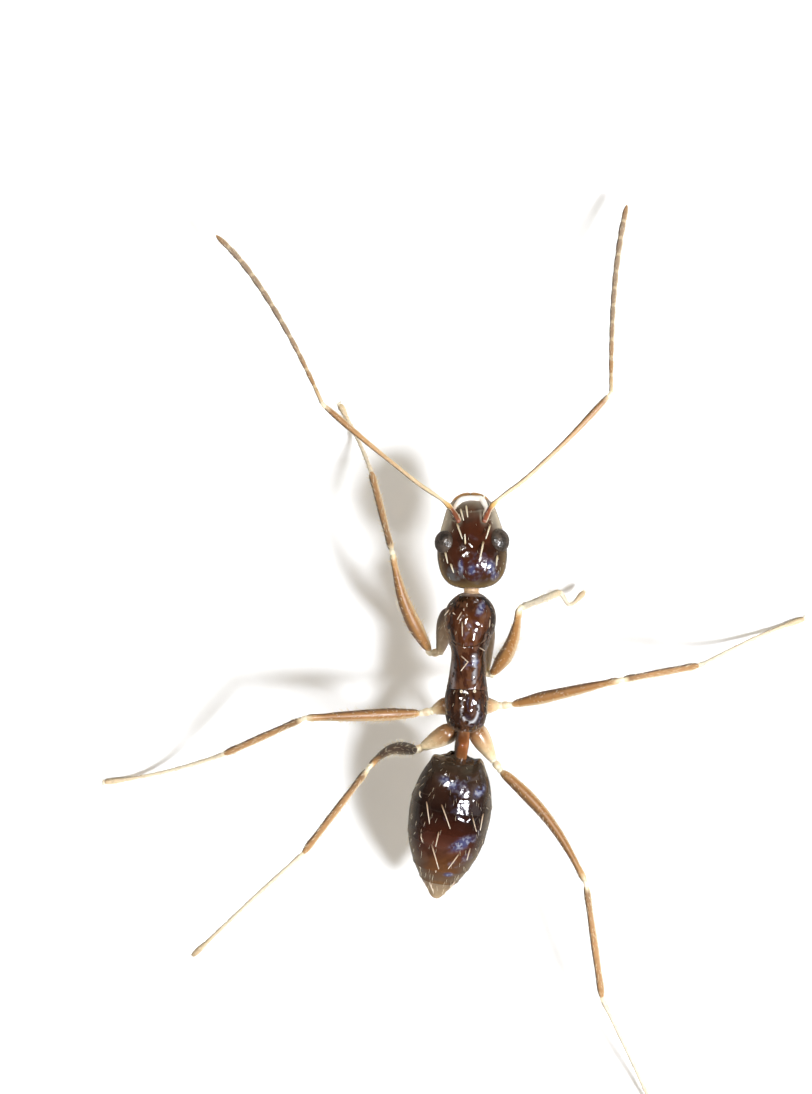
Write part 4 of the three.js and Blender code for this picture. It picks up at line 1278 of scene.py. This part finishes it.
TRUNK_SKINS = ["pronotum", "mesothorax", "propodeum"]
PLATE_RIMS = dict(zip(TRUNK_SKINS, [(0.010, 0.005), (0.005, 0.003), (0.003, 0.010)]))  # front and rear
PLATE_COLLAR = 0.03 * MM  # how far a rounded rim goes on inside the next plate


def open_ends(grid):
    """The ends of a grid that haven't closed in a point: 0 for the first row, -1 for the last."""
    return [end for end in (0, -1) if np.ptp(grid[end], axis=0).max() > 0.01 * MM]


def plate(node):
    """A plate's smooth grid, with the rims of its open ends rounded over."""
    grid = smooth_grid(rings_of(node, middle("head")), 120, 160, crowd=0.3)
    grid = bent_at_seam(raised(grid, trunk_relief(grid, node)))
    for end in open_ends(grid):
        rim = PLATE_RIMS[node][end] * MM
        reach = np.linalg.norm(grid.mean(axis=1) - grid[end].mean(axis=0), axis=1)
        grid = tucked(grid[reach > rim], end, rim, PLATE_COLLAR)
    return grid


# painted reflections: where the pale gleams are painted on the trunk
PAINTED_GLEAM_PLACES = {"mesothorax": painted_side_gleam, "propodeum": horseshoe}
for node in TRUNK_SKINS:
    grid = skins[node] = plate(node)
    shell = make_skin(node, f"{node}_plate", trunk_finishes[node], node, sided=False)
    # keep where the painted steel-blue reflections lie on the trunk
    mark_painted_glints(shell, grid, TRUNK_PAINTED_GLINTS, waist_start)
    if node in PAINTED_GLEAM_PLACES:
        keep_from_grid(shell, "painted_gleam", grid, PAINTED_GLEAM_PLACES[node](grid))
    print(node, "length in mm:", round(float(np.ptp(grid[..., 1])) / MM, 3))

# %% [markdown]
# Insects breathe through small holes called spiracles. One pair opens on top of the trunk, just
# before the propodeum, and each hole has a pale raised ring. A ring is a tube round a circle.

# %% Make the breathing holes
SPIRACLE_RADIUS = 0.0065 * MM
SPIRACLE_RIM = 0.0035 * MM    # the radius of the tube
SPIRACLE_OUT = 0.047 * MM     # from the middle of the back
SPIRACLE_BACK = 0.004 * MM    # behind the seam
SPIRACLE_LIFT = 0.002 * MM


def spiracle_ring(side):
    """A small raised ring on the back of the trunk."""
    seam_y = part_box("mesothorax")[1].y
    centre = on_top(skins["propodeum"], TRUNK_MIDDLE.x + side * SPIRACLE_OUT, seam_y + SPIRACLE_BACK,
                    SPIRACLE_LIFT)
    turns = np.linspace(0, 2 * math.pi, 25)
    circle = [centre + np.array([math.cos(t), math.sin(t), 0]) * SPIRACLE_RADIUS for t in turns]
    return grid_mesh(swept(circle, [(0, SPIRACLE_RIM), (1, SPIRACLE_RIM)], 12, 48, domed=False))


holes = make_piece("breathing_holes", [spiracle_ring(side) for side in SIDES.values()],
                   looks["joint_sleeve"])
print("faces in both breathing holes:", len(holes.data.polygons))

# %% [markdown]
# ## Neck and waist
# The neck is a short sleeve of pale skin. The waist, called the petiole, is one small bead with a
# blunt scale that leans forward. The solid of each was cut by its neighbours, so we loft a new
# one in the same box from a few listed stations, and let its ends run inside the neighbours.

# %% Make the neck and the waist
LOFT_AROUND, LOFT_ALONG = 64, 60


def lofted(start, end, stations):
    """A grid between two points. Stations are (share, half width, top, bottom) in millimetres."""
    left = unit(np.cross(unit(end - start), (0, 0, 1)))
    above = np.cross(left, unit(end - start))
    shares, *columns = np.array(stations, float).T
    at = np.linspace(0, 1, LOFT_ALONG)
    wide, high, low = (spline(shares, column, at) * MM for column in columns)
    angle = (-np.arange(LOFT_AROUND) / LOFT_AROUND * 2 * math.pi)[None, :, None]
    centre = start + (end - start) * at[:, None] + above * ((high + low) / 2)[:, None]
    ring = np.cos(angle) * left * wide[:, None, None]
    ring = ring + np.sin(angle) * above * ((high - low) / 2)[:, None, None]
    return centre[:, None] + ring


def in_neck_box(back, height):
    """A point on the middle line of the neck's box, by shares of its length and its height."""
    low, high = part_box("neck")
    y = low.y + (high.y - low.y) * back
    z = low.z + (high.z - low.z) * height
    return np.array([(low.x + high.x) / 2, y, z])


NECK_STATIONS = [
    (0, 0.040, 0.040, -0.040),
    (0.5, 0.046, 0.044, -0.042),
    (1, 0.056, 0.052, -0.050),
]
NECK_FOLDS, FOLD_DEPTH = 5, 0.0022 * MM
NECK_RIM, WAIST_RIM = 0.004 * MM, 0.01 * MM  # how far their open ends are rounded over
neck_grid = lofted(in_neck_box(-0.25, 0.45), in_neck_box(1.3, 0.55), NECK_STATIONS)
neck_grid = raised(neck_grid, FOLD_DEPTH * np.sin(share_along(neck_grid) * 2 * math.pi * NECK_FOLDS))
make_piece("neck_skin", [grid_mesh(closed(neck_grid, NECK_RIM))], looks["neck_membrane"],
           ["neck"])

WAIST_STATIONS = [
    (0, 0.042, 0.036, -0.036),
    (0.27, 0.045, 0.060, -0.050),
    (0.42, 0.047, 0.102, -0.056),
    (0.52, 0.047, 0.110, -0.056),
    (0.66, 0.045, 0.084, -0.052),
    (0.85, 0.043, 0.044, -0.044),
    (1, 0.042, 0.030, -0.040),
]
WAIST_TURN = math.radians(-7)
petiole_low, petiole_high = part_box("petiole")
waist_way = np.array([-math.sin(WAIST_TURN), math.cos(WAIST_TURN), 0])
WAIST_REACH = 0.205 * MM
WAIST_LINE = 0.056 * MM  # how high the stations' middle line runs above the underside
waist_end = np.array([(petiole_low.x + petiole_high.x) / 2, petiole_high.y, petiole_low.z + WAIST_LINE])
waist_grid = lofted(waist_end - waist_way * WAIST_REACH, waist_end, WAIST_STATIONS)
scale = make_piece("petiole_scale", [grid_mesh(closed(waist_grid, WAIST_RIM))], looks["petiole_shell"],
                   ["petiole"])
mark_sides(scale, waist_grid)
print("waist length in mm:", round(float(np.ptp(waist_grid[..., 1])) / MM, 3))

# %% [markdown]
# ## The gaster
# The swollen tail part is four rings of plate that slide into one another like a telescope. Each
# plate's rear edge is thin and stands a hair proud of the plate behind it; on the ant it is redder.
# The first plate has square shoulders: its front lies flat against the waist and stands back a
# little round it. The last piece is a tan cone with the small round nozzle that sprays acid.

# %% Shape a gaster plate
second_ring = rings_of("gaster_2", waist)[1]
spread = second_ring - second_ring.mean(axis=0)
gaster_back = unit(np.cross(spread[0], spread[6]))
gaster_back *= np.sign(gaster_back[1])

GASTER_CORNERS = 24        # in each ring of a plate's solid
CUT_CORNERS = 7            # at most this many more lie on one level, where the waist cuts in
OVERHANG = 0.010 * MM      # how far a plate reaches over the next one
PROUD = 0.0026 * MM        # how high its rear edge stands
FRONT_SINK = 0.020 * MM    # how far the front stands back between the shoulders
SHOULDER_OUT = 0.010 * MM  # how far the shoulders stand out
FRONT_RIM, PLATE_RIM = 0.006 * MM, 0.003 * MM  # how far the first front and the other ends are rounded


def overhanging(grid):
    """A plate carried a little back over the next one, and raised a hair at its rear edge."""
    grid = raised(grid, PROUD * ramp(share_along(grid), 0.8, 0.2) ** 2)
    step = units(grid[-1] - grid[-2])
    return np.concatenate([grid, [grid[-1] + step * OVERHANG * t for t in (0.35, 0.7, 1.0)]])


def shouldered(grid):
    """The first plate with a flatter front: it stands back round the waist, and out at two shoulders."""
    from_waist = (grid - grid[0].mean(axis=0)) / MM
    depth = from_waist @ gaster_back
    out = np.abs(from_waist @ unit(np.array([gaster_back[1], -gaster_back[0], 0.0])))
    apart = np.linalg.norm(from_waist - depth[..., None] * gaster_back, axis=2)
    sunk = ramp(apart, 0.050, 0.025) * ramp(0.150 - out, 0, 0.035) * ramp(1.4 - depth / 0.045, 0, 1)
    corner = bell(out - 0.152, 0.028) * bell(depth - 0.028, 0.035)
    return raised(grid + FRONT_SINK * sunk[..., None] * gaster_back, SHOULDER_OUT * corner)


print("the gaster's way back:", np.round(gaster_back, 3))

# %% [markdown]
# The four plates share one run of colours, so each corner keeps its share along the whole gaster
# instead of along its own plate. Then the seams show as steps in relief and not in colour.

# %% Make the gaster plates
GASTER_SKINS = ["gaster_1", "gaster_2", "gaster_3", "gaster_4", "gaster_tip"]
gaster_rings = {node: rings_of(node, waist) for node in GASTER_SKINS[1:]}
first_rings = level_rings("gaster_1", gaster_back, (1, 0, 0), GASTER_CORNERS, spare=CUT_CORNERS)
gaster_rings = {"gaster_1": first_rings, **gaster_rings}
print("gaster rings:", {node: [len(r) for r in rings] for node, rings in gaster_rings.items()})
gaster_front = gaster_rings["gaster_1"][0].mean(axis=0) @ gaster_back
gaster_reach = gaster_rings["gaster_tip"][-1].mean(axis=0) @ gaster_back - gaster_front
for node, rings in gaster_rings.items():
    is_first, is_tip = node == "gaster_1", node == "gaster_tip"
    grid = smooth_grid(rings, 144, 90 if is_first else 60, crowd=0.2)
    if is_first:
        grid = shouldered(grid)
    if not is_tip:
        grid = overhanging(grid)
    for end in open_ends(grid):
        grid = tucked(grid, end, FRONT_RIM if is_first and end == 0 else PLATE_RIM)
    skins[node] = grid
    if is_tip:
        shell = make_skin(node, f"{node}_plate", looks["gaster_tip"], node, sided=False)
    else:  # the colours of the four plates run on from one to the next
        whole_share = (grid.mean(axis=1) @ gaster_back - gaster_front) / gaster_reach
        shell = make_piece(f"{node}_plate", [grid_mesh(grid, whole_share)], gaster_finish,
                           [node])
    # keep where the painted steel-blue reflections lie on the gaster
    mark_painted_glints(shell, grid, GASTER_PAINTED_GLINTS, waist_start)

# %% [markdown]
# ## The legs
# Each leg has a stout hip, a small link, a long thigh, a shin and a foot of five joints that
# ends in two claws. Hips are drop-shaped and start inside the trunk, so they are swept along
# their own direction. Everything beyond them keeps the rings of its solid.

# %% Shape hips, feet and claws
def aim(side, swing, rise):
    """A direction from a swing forward of straight out to the side, and a rise above level."""
    swing, rise = math.radians(swing), math.radians(rise)
    level = math.cos(rise)
    return np.array([side * level * math.cos(swing), -level * math.sin(swing), math.sin(rise)])


HIPS = {  # swing and rise in degrees, and length in millimetres
    "front_left": (-76, -41.8, 0.360),
    "front_right": (-88, -18, 0.360),
    "middle_left": (-20, -25, 0.135),
    "middle_right": (0, -25, 0.135),
    "hind_left": (-28.8, -19.3, 0.254),
    "hind_right": (-60, -13.9, 0.254),
}
HIP_RADII = {
    "front": [(0, 0.050), (0.25, 0.068), (0.6, 0.056), (0.88, 0.036), (1, 0.028)],
    "middle": [(0, 0.052), (0.35, 0.058), (0.8, 0.036), (1, 0.026)],
    "hind": [(0, 0.058), (0.2, 0.066), (0.45, 0.064), (0.83, 0.039), (1, 0.028)],
}
HIP_GAP = 0.004 * MM     # between the hip's end and the link's first corner
HIP_INSIDE = 0.02 * MM   # how far a hip goes on inside the trunk
FOOT_JOINTS = [0.47, 0.63, 0.75, 0.85]  # where one foot joint meets the next
CLAW_LENGTH = 0.026 * MM


def hip_grid(leg, link_start):
    """A hip that ends just short of the link's first corner."""
    pair, side = leg.split("_")
    swing, rise, length = HIPS[leg]
    way = aim(SIDES[side], swing, rise)
    end = link_start - way * HIP_GAP
    path = [end - way * (length * MM + HIP_INSIDE), end - way * length * MM / 2, end]
    return swept(path, in_metres(HIP_RADII[pair]), 48, 60)


def foot_grid(rings):
    """A foot with a narrow waist at each joint and a slight flare before it."""
    grid = smooth_grid(rings, 24, 150, crowd=0.3, slack=0.5)
    share = share_along(grid)
    height = 0.0022 + 0.0024 * ramp(share, 0.80, 0.08) * ramp(1 - share, 0, 0.02)
    for joint in FOOT_JOINTS:
        height -= 0.0034 * bell(share - joint, 0.008)
        height += 0.0016 * bell(share - joint + 0.022, 0.016)
    return raised(grid, height * MM)


CLAW_RADII = [(0, 0.0042), (0.6, 0.0028), (1, 0.0006)]
PAD_RADII = [(0, 0.007), (0.6, 0.008), (1, 0.006)]


def claws(grid):
    """A pair of hooked claws at a foot's end, with a small pad between them."""
    tip, before = grid[-1].mean(axis=0), grid[-12].mean(axis=0)
    way = unit(tip - before)
    across = unit(np.cross(way, (0, 0, 1.0)))
    down = unit(np.cross(way, across))
    down *= -np.sign(down[2]) if abs(down[2]) > 0.1 else 1
    parts = []
    for side in (1, -1):
        root = tip - way * 0.006 * MM + across * side * 0.005 * MM
        bend = root + (way * 0.6 + across * side * 0.42) * CLAW_LENGTH - down * 0.12 * CLAW_LENGTH
        point = root + (way * 0.95 + across * side * 0.62) * CLAW_LENGTH + down * 0.16 * CLAW_LENGTH
        path = curve_through(root, bend, point, 5)
        path[:, 2] = np.maximum(path[:, 2], 0.0035 * MM)
        parts.append(grid_mesh(swept(path, in_metres(CLAW_RADII), 10, 16, lie=down)))
    pad = [tip + way * ahead * MM for ahead in (-0.004, 0.006, 0.014)]
    parts.append(grid_mesh(swept(pad, in_metres(PAD_RADII), 16, 14, 0.7, down)))
    return parts


JOINT_REACH = 0.020 * MM  # how far a sleeve runs inside each of the pieces that it joins


SLEEVE_SHARE = 0.92       # its radius, as a share of theirs


def sleeve(before, after):
    """A soft tube from inside one limb's end to inside the next one's start."""
    parts = []
    for grid, rows in ((before, range(len(before) - 1, -1, -1)), (after, range(len(after)))):
        end = grid[rows[0]].mean(axis=0)
        for row in rows:
            centre = grid[row].mean(axis=0)
            if np.linalg.norm(centre - end) > JOINT_REACH:
                break
        parts.append((centre, np.linalg.norm(grid[row] - centre, axis=1).mean()))
    (first, first_radius), (last, last_radius) = parts
    bend = (before[-1].mean(axis=0) + after[0].mean(axis=0)) / 2
    radii = [(0, first_radius * SLEEVE_SHARE), (0.5, (first_radius + last_radius) / 2 * SLEEVE_SHARE),
             (1, last_radius * SLEEVE_SHARE)]
    return grid_mesh(swept([first, bend, last], radii, 24, 20, lie=(0.1, 0.2, 1.0)))


print("foot joints:", len(FOOT_JOINTS) + 1)

# %% [markdown]
# Now the legs are put together. Each solid gives its rings, the hip is swept to meet the link, and
# four pale sleeves of soft skin hide the cuts at the joints, as the joint skin does on the ant.

# %% Put the legs together
LEG_PARTS = {"coxa": "hip", "trochanter": "link", "femur": "thigh", "tibia": "shin", "tarsus": "foot"}
OWN_LOOKS = {"coxa_front_left": "front_coxa", "coxa_front_right": "front_coxa",
             "femur_hind_left": "steep_femur", "tibia_front_right": "pale_tibia"}


def plan_leg(leg):
    """Keep the skins of one leg, each from the rings of its solid."""
    link = rings_of(f"trochanter_{leg}", middle(f"coxa_{leg}"))
    thigh = rings_of(f"femur_{leg}", middle(f"trochanter_{leg}"))
    shin = rings_of(f"tibia_{leg}", middle(f"femur_{leg}"))
    foot = rings_of(f"tarsus_{leg}", shin[-1][0])
    skins[f"coxa_{leg}"] = hip_grid(leg, link[0][0])
    skins[f"trochanter_{leg}"] = smooth_grid(link, 32, 32, slack=0.5)
    skins[f"femur_{leg}"] = smooth_grid(thigh, 48, 90, slack=0.5)
    skins[f"tibia_{leg}"] = smooth_grid(shin, 40, 80, slack=0.5)
    skins[f"tarsus_{leg}"] = foot_grid(foot)


for leg in HIPS:
    plan_leg(leg)
    for part, name in LEG_PARTS.items():
        node = f"{part}_{leg}"
        make_skin(node, f"{name}_{leg}", looks[OWN_LOOKS.get(node, part)], node, part != "trochanter")
    make_piece(f"claws_{leg}", claws(skins[f"tarsus_{leg}"]), looks["claw"])
    chain = [skins[f"{part}_{leg}"] for part in LEG_PARTS]
    make_piece(f"joints_{leg}", [sleeve(a, b) for a, b in zip(chain, chain[1:])], looks["joint_sleeve"])
print("legs:", list(HIPS))

# %% [markdown]
# ## The feelers
# Each feeler has one long straight part, the scape, and a whip of eleven beads. The scape starts
# in its socket on the face and turns over the edge of it. We sweep it from there to the elbow,
# where the whip's first corner lies. The whip's beads are already in the rings of its solid.

# %% Make the feelers
SOCKET = (0.088, -0.126)         # in plan from the head's middle, in millimetres
TURN = (0.138, -0.206, 0.100)    # where the scape turns outward
ELBOW_GAP = 0.020 * MM           # between the scape's end and the whip's first corner
SCAPE_SAG = {"left": 0.012, "right": 0.026}
SCAPE_RADII = [(0, 0.018), (0.05, 0.021), (0.095, 0.016),
               (0.125, 0.0195),  # the ball of the joint
               (0.155, 0.0135), (0.20, 0.0122), (0.4, 0.0145), (0.75, 0.019), (0.96, 0.019), (1, 0.015)]


def scape_grid(name, side, elbow):
    """The scape from its socket to just short of the elbow."""
    socket = on_face(side * SOCKET[0], SOCKET[1], -0.004)
    turn = on_head(side * TURN[0], TURN[1], TURN[2])
    way = unit(elbow - turn)
    end = elbow - way * ELBOW_GAP
    sag = np.cross((0, 0, 1.0), way) * side * SCAPE_SAG[name] * MM
    shares = (0, 0.2, 0.4, 0.6, 0.8, 1)
    points = [socket] + [turn + (end - turn) * t + sag * math.sin(math.pi * t) for t in shares]
    return swept(points, in_metres(SCAPE_RADII), 32, 120)


for name, side in SIDES.items():
    whip_rings = rings_of(f"funiculus_{name}", middle(f"scape_{name}"))
    skins[f"funiculus_{name}"] = smooth_grid(whip_rings, 30, 330, crowd=0.05, slack=0.5)
    skins[f"scape_{name}"] = scape_grid(name, side, whip_rings[0][0])
    for part, piece_name in (("scape", "feeler_base"), ("funiculus", "whip")):
        make_skin(f"{part}_{name}", f"{piece_name}_{name}", looks[part], f"{part}_{name}")
    make_piece(f"elbow_{name}", [sleeve(skins[f"scape_{name}"], skins[f"funiculus_{name}"])],
               looks["joint_sleeve"])
    reach = np.linalg.norm(whip_rings[0][0] - on_face(side * SOCKET[0], SOCKET[1]))
    print("scape", name, "length in mm:", round(float(reach) / MM, 3))

# %% [markdown]
# ## Hairs
# An insect's hair, called a seta, is a hollow tapering rod in a small socket. All hairs of a patch
# are built at once as arrays: rings of a few corners from root to tip, slightly bent, and closed.
# A colour map spreads each skin out flat, and gives every hair a spot at its own root.

# %% Build hairs
HAIR_SPOT = 0.003  # how wide the spot of one hair is on its colour map
HAIR_BOW = 0.06    # how far a hair bends, as a share of its length


def hair_meshes(roots, tips, thickness, blunt=0.45, arch=0.0, sides=6, levels=6):
    """Corners, faces, shares and map places of many closed tapering hairs from roots to tips.

    Blunt is the tip's share of the thickness. The arch lifts a hair's middle straight up, in metres."""
    roots, tips = np.asarray(roots, float), np.asarray(tips, float)
    thickness = np.broadcast_to(thickness, len(roots))
    lengths = np.linalg.norm(tips - roots, axis=1, keepdims=True)
    ways = (tips - roots) / lengths
    steep = np.abs(ways[:, 2:]) >= 0.9
    across = units(np.cross(ways, np.where(steep, [[1.0, 0, 0]], [[0, 0, 1.0]])))
    above = np.cross(across, ways)
    angles = np.arange(sides) / sides * 2 * math.pi
    corners, shares, spots = [], [], []
    for share in np.linspace(0, 1, levels):
        bulge = (above * lengths * HAIR_BOW + np.array([0, 0, 1.0]) * arch) * (4 * share * (1 - share))
        centre = roots + ways * lengths * share + bulge
        radius = (thickness / 2 * (1 - (1 - blunt) * share**2))[:, None]
        for angle in angles:
            corners.append(centre + (math.cos(angle) * across + math.sin(angle) * above) * radius)
            shares.append(share)
            spots.append(((angle / math.pi - 1) * 0.4, share * 0.8 - 0.4))
    corners.append(tips + ways * thickness[:, None] * blunt / 2)
    shares.append(1.0)
    spots.append((0.0, 0.45))
    each = len(corners)
    faces = []
    for level in range(levels - 1):
        for j in range(sides):
            a, b = level * sides + j, level * sides + (j + 1) % sides
            faces.append((a, b, b + sides, a + sides))
    last = (levels - 1) * sides
    faces += [(last + j, last + (j + 1) % sides, each - 1) for j in range(sides)]
    faces.append(tuple(reversed(range(sides))))
    starts = np.arange(len(roots)) * each
    all_faces = [tuple(start + v for v in face) for start in starts for face in faces]
    return (np.stack(corners, axis=1).reshape(-1, 3), all_faces, np.tile(shares, len(roots)),
            np.tile(spots, (len(roots), 1)) * HAIR_SPOT)


MAP_MARGIN = 0.02  # left free round each patch on the colour map


def make_coat(name, patches, look):
    """One piece of hairs. Each patch is (hair meshes, root places on its skin's map)."""
    parts, places = [], []
    side = math.ceil(math.sqrt(len(patches)))
    for cell, (hairs, root_places) in enumerate(patches):
        corners, faces, shares, spots = hairs
        each = len(corners) // len(root_places)
        corner_of_cell = np.array([cell % side, cell // side])
        on_map = (corner_of_cell + MAP_MARGIN + (1 - 2 * MAP_MARGIN) * np.asarray(root_places)) / side
        places.append(np.repeat(on_map, each, axis=0) + spots)
        parts.append((corners, faces, shares))
    coat = make_piece(name, parts, look)
    colour_map = coat.data.uv_layers.new(name="OFBake")
    corner_index = np.zeros(len(coat.data.loops), dtype=int)
    coat.data.loops.foreach_get("vertex_index", corner_index)
    colour_map.data.foreach_set("uv", np.concatenate(places)[corner_index].ravel())
    return coat


def map_place(grid, point):
    """Where a point of a skin lies when the skin is unrolled flat: round it, and along it."""
    row, column = divmod(int(np.argmin(np.linalg.norm(grid.reshape(-1, 3) - point, axis=1))), grid.shape[1])
    return column / grid.shape[1], share_along(grid)[row]


one_hair = hair_meshes([(0, 0, 0)], [(0, 0, MM)], 0.1 * MM)
print("corners and faces of one hair:", len(one_hair[0]), len(one_hair[1]))

# %% [markdown]
# ## Long bristles
# The ant has a few dozen stiff cream bristles on its back, in rough pairs. They are thick for
# their length, so they read clearly even from far off. We name where each one stands and which
# way it leans in plan, look up the skin's height there, and grow a hair. Where the body bulges
# between a bristle's root and its tip, the bristle arches over it.

# %% Make the long bristles
def top_skin(skin_names, place, lift=0.0):
    """The point on top of the skin that reaches nearest to a place in plan, and that skin's name."""
    found = [(on_top(skins[name], place[0], place[1], lift), name) for name in skin_names]
    return min(found, key=lambda f: np.hypot(*(f[0] - place)[:2]))


ROOT_DEPTH = 0.002 * MM      # how deep a bristle's root sits in the skin
CLEAR_OF_SKIN = 0.012 * MM   # how far the middle of a long bristle stays above the skin


def long_bristles(skin_names, start_at, table, thickness):
    """Hairs from a table of (root across, root back, tip across, tip back, rise) in millimetres."""
    roots, tips, places, arches = [], [], [], []
    for x, y, tip_x, tip_y, rise in table:
        place = start_at + np.array([x, y, 0]) * MM
        root, skin = top_skin(skin_names, place, -ROOT_DEPTH)
        tip = start_at + np.array([tip_x, tip_y, 0]) * MM
        tip[2] = max(root[2], top_skin(skin_names, tip)[0][2]) + rise * MM
        half_way = (root + tip) / 2
        arches.append(max(0.0, top_skin(skin_names, half_way)[0][2] + CLEAR_OF_SKIN - half_way[2]))
        roots.append(root)
        tips.append(tip)
        places.append(map_place(skins[skin], root))
    return hair_meshes(roots, tips, thickness * MM, arch=np.array(arches)[:, None]), places


HEAD_BRISTLES = [
    (0.105, -0.121, 0.064, -0.011, 0.060),
    (-0.129, -0.111, -0.092, -0.011, 0.060),
    (-0.083, 0.004, -0.049, 0.142, 0.070),
    (0.044, 0.022, 0.047, -0.040, 0.050),
    (0.190, 0.074, 0.160, 0.150, 0.050),
    (-0.176, 0.098, -0.160, 0.168, 0.050),
    (0.151, 0.160, 0.121, 0.212, 0.045),
    (0.077, -0.218, 0.055, -0.132, 0.050),
    (0.044, -0.240, 0.028, -0.154, 0.050),
    (-0.081, -0.277, -0.083, -0.305, 0.030),
]
TRUNK_BRISTLES = [
    (0.0126, -0.886, 0.0363, -0.834, 0.050),
    (0.0033, -0.820, 0.0033, -0.725, 0.050),
    (-0.0283, -0.930, -0.0300, -0.938, 0.050),
    (0.0594, -0.871, 0.0640, -0.880, 0.045),
    (-0.0066, -0.895, -0.0080, -0.905, 0.045),
    (0.0218, -0.585, -0.0349, -0.552, 0.030),
    (-0.0349, -0.556, 0.0126, -0.495, 0.030),
    (-0.190, -0.834, -0.176, -0.783, 0.025),
    (-0.1194, -0.651, -0.1432, -0.627, 0.020),
    (0.0990, -0.905, 0.1210, -0.860, 0.030),
]
GASTER_BRISTLES = [
    (0.137, 0.388, 0.083, 0.544, 0.060),
    (0.246, 0.367, 0.219, 0.512, 0.045),
    (0.244, 0.280, 0.273, 0.342, 0.030),
    (-0.148, 0.351, -0.168, 0.417, 0.040),
    (-0.144, 0.450, -0.115, 0.557, 0.050),
    (-0.074, 0.483, -0.090, 0.565, 0.050),
    (0.233, 0.540, 0.257, 0.643, 0.035),
    (0.158, 0.570, 0.178, 0.664, 0.045),
    (0.211, 0.664, 0.158, 0.813, 0.045),
    (0.021, 0.730, 0.096, 0.813, 0.050),
    (-0.057, 0.681, -0.028, 0.755, 0.045),
    (0.271, 0.735, 0.277, 0.813, 0.020),
    (0.174, 0.796, 0.182, 0.867, 0.040),
    (0.223, 0.867, 0.191, 0.978, 0.020),
    (0.042, 0.867, 0.092, 0.961, 0.025),
    (-0.090, 0.598, -0.090, 0.689, 0.040),
]
head_start = np.array([head_origin[0], head_origin[1], 0])
head_set = long_bristles(["head"], head_start, HEAD_BRISTLES, 0.0125)
trunk_set = long_bristles(TRUNK_SKINS, waist_start, TRUNK_BRISTLES, 0.0080)
gaster_set = long_bristles(GASTER_SKINS, waist_start, GASTER_BRISTLES, 0.0088)
make_coat("head_bristles", [head_set], bristle)
make_coat("back_bristles", [trunk_set, gaster_set], tan_bristle)
print("long bristles:", [len(places) for _, places in (head_set, trunk_set, gaster_set)])

# %% [markdown]
# ## Fine down
# Everywhere else the skin carries short, thin, lying hairs that only show as a soft edge on the
# feelers, the legs and the gaster. There are thousands, so they are planted by a rule: evenly
# scattered over each skin with a fixed seed, leaning towards the tip, and a little uneven.

# %% Plant the fine down
DOWN_SEED = 11
DOWN = {  # hairs on each skin, length, thickness and lift from the skin in degrees
    "femur": (190, 0.034, 0.0022, 50),
    "tibia": (150, 0.032, 0.0022, 48),
    "tarsus": (130, 0.022, 0.0017, 38),
    "scape": (150, 0.024, 0.0017, 38),
    "funiculus": (420, 0.020, 0.0017, 42),
    "coxa": (30, 0.026, 0.0017, 35),
    "gaster_1": (56, 0.034, 0.0013, 22),
    "gaster_2": (48, 0.034, 0.0013, 22),
    "gaster_3": (42, 0.036, 0.0014, 24),
    "gaster_4": (44, 0.042, 0.0018, 28),
    "gaster_tip": (26, 0.050, 0.0024, 30),
    "head": (110, 0.024, 0.0015, 25),
    "pronotum": (40, 0.024, 0.0015, 25),
    "propodeum": (30, 0.024, 0.0015, 25),
}
BARE_END = 0.02              # the share at each end of a skin that stays bare
UNEVEN_LIFT = (0.6, 1.4)     # the lift and the length vary by chance between these shares,
UNEVEN_LENGTH = (0.7, 1.2)
UNEVEN_WAY = 0.10            # and the direction by about this much
scatter = np.random.default_rng(DOWN_SEED)


def down_on(grid, count, length, thickness, lift):
    """Short hairs scattered over a skin, leaning towards its far end."""
    rows, around = grid.shape[:2]
    widths = np.linalg.norm(grid - np.roll(grid, 1, axis=1), axis=2).sum(axis=1)
    steps = np.linalg.norm(np.gradient(grid, axis=0), axis=2).mean(axis=1)
    share = share_along(grid)
    area = widths * steps * ((share > BARE_END) & (share < 1 - BARE_END))
    row = scatter.choice(rows, size=count, p=area / area.sum())
    column = scatter.integers(0, around, size=count)
    out = normals_of(grid)[row, column]
    forward = np.gradient(grid, axis=0)[row, column]
    forward /= np.maximum(np.linalg.norm(forward, axis=1, keepdims=True), 1e-12)
    lifts = np.radians(lift * scatter.uniform(*UNEVEN_LIFT, count))[:, None]
    way = np.cos(lifts) * forward + np.sin(lifts) * out
    way = units(way + scatter.normal(0, UNEVEN_WAY, (count, 3)))
    root = grid[row, column] - out * thickness * 0.4 * MM
    tip = root + way * (length * MM * scatter.uniform(*UNEVEN_LENGTH, count)[:, None])
    tip[:, 2] = np.maximum(tip[:, 2], thickness * MM)
    places = np.stack([column / around, share[row]], axis=1)
    return hair_meshes(root, tip, thickness * MM, blunt=0.25, sides=4, levels=4), places


LIMB_PARTS = ("femur", "tibia", "tarsus", "scape", "funiculus", "coxa")
down_sets = {"body": [], "limbs": []}
for name, grid in skins.items():
    part = name.split("_")[0]
    kind = part if part in DOWN else name
    if kind in DOWN:
        region = "limbs" if kind in LIMB_PARTS else "body"
        down_sets[region].append(down_on(grid, *DOWN[kind]))
for region, sets in down_sets.items():
    coat = make_coat(f"fine_down_{region}", sets, bristle)
    print("fine hairs on the", region + ":", sum(len(places) for _, places in sets),
          "in", len(coat.data.polygons), "faces")
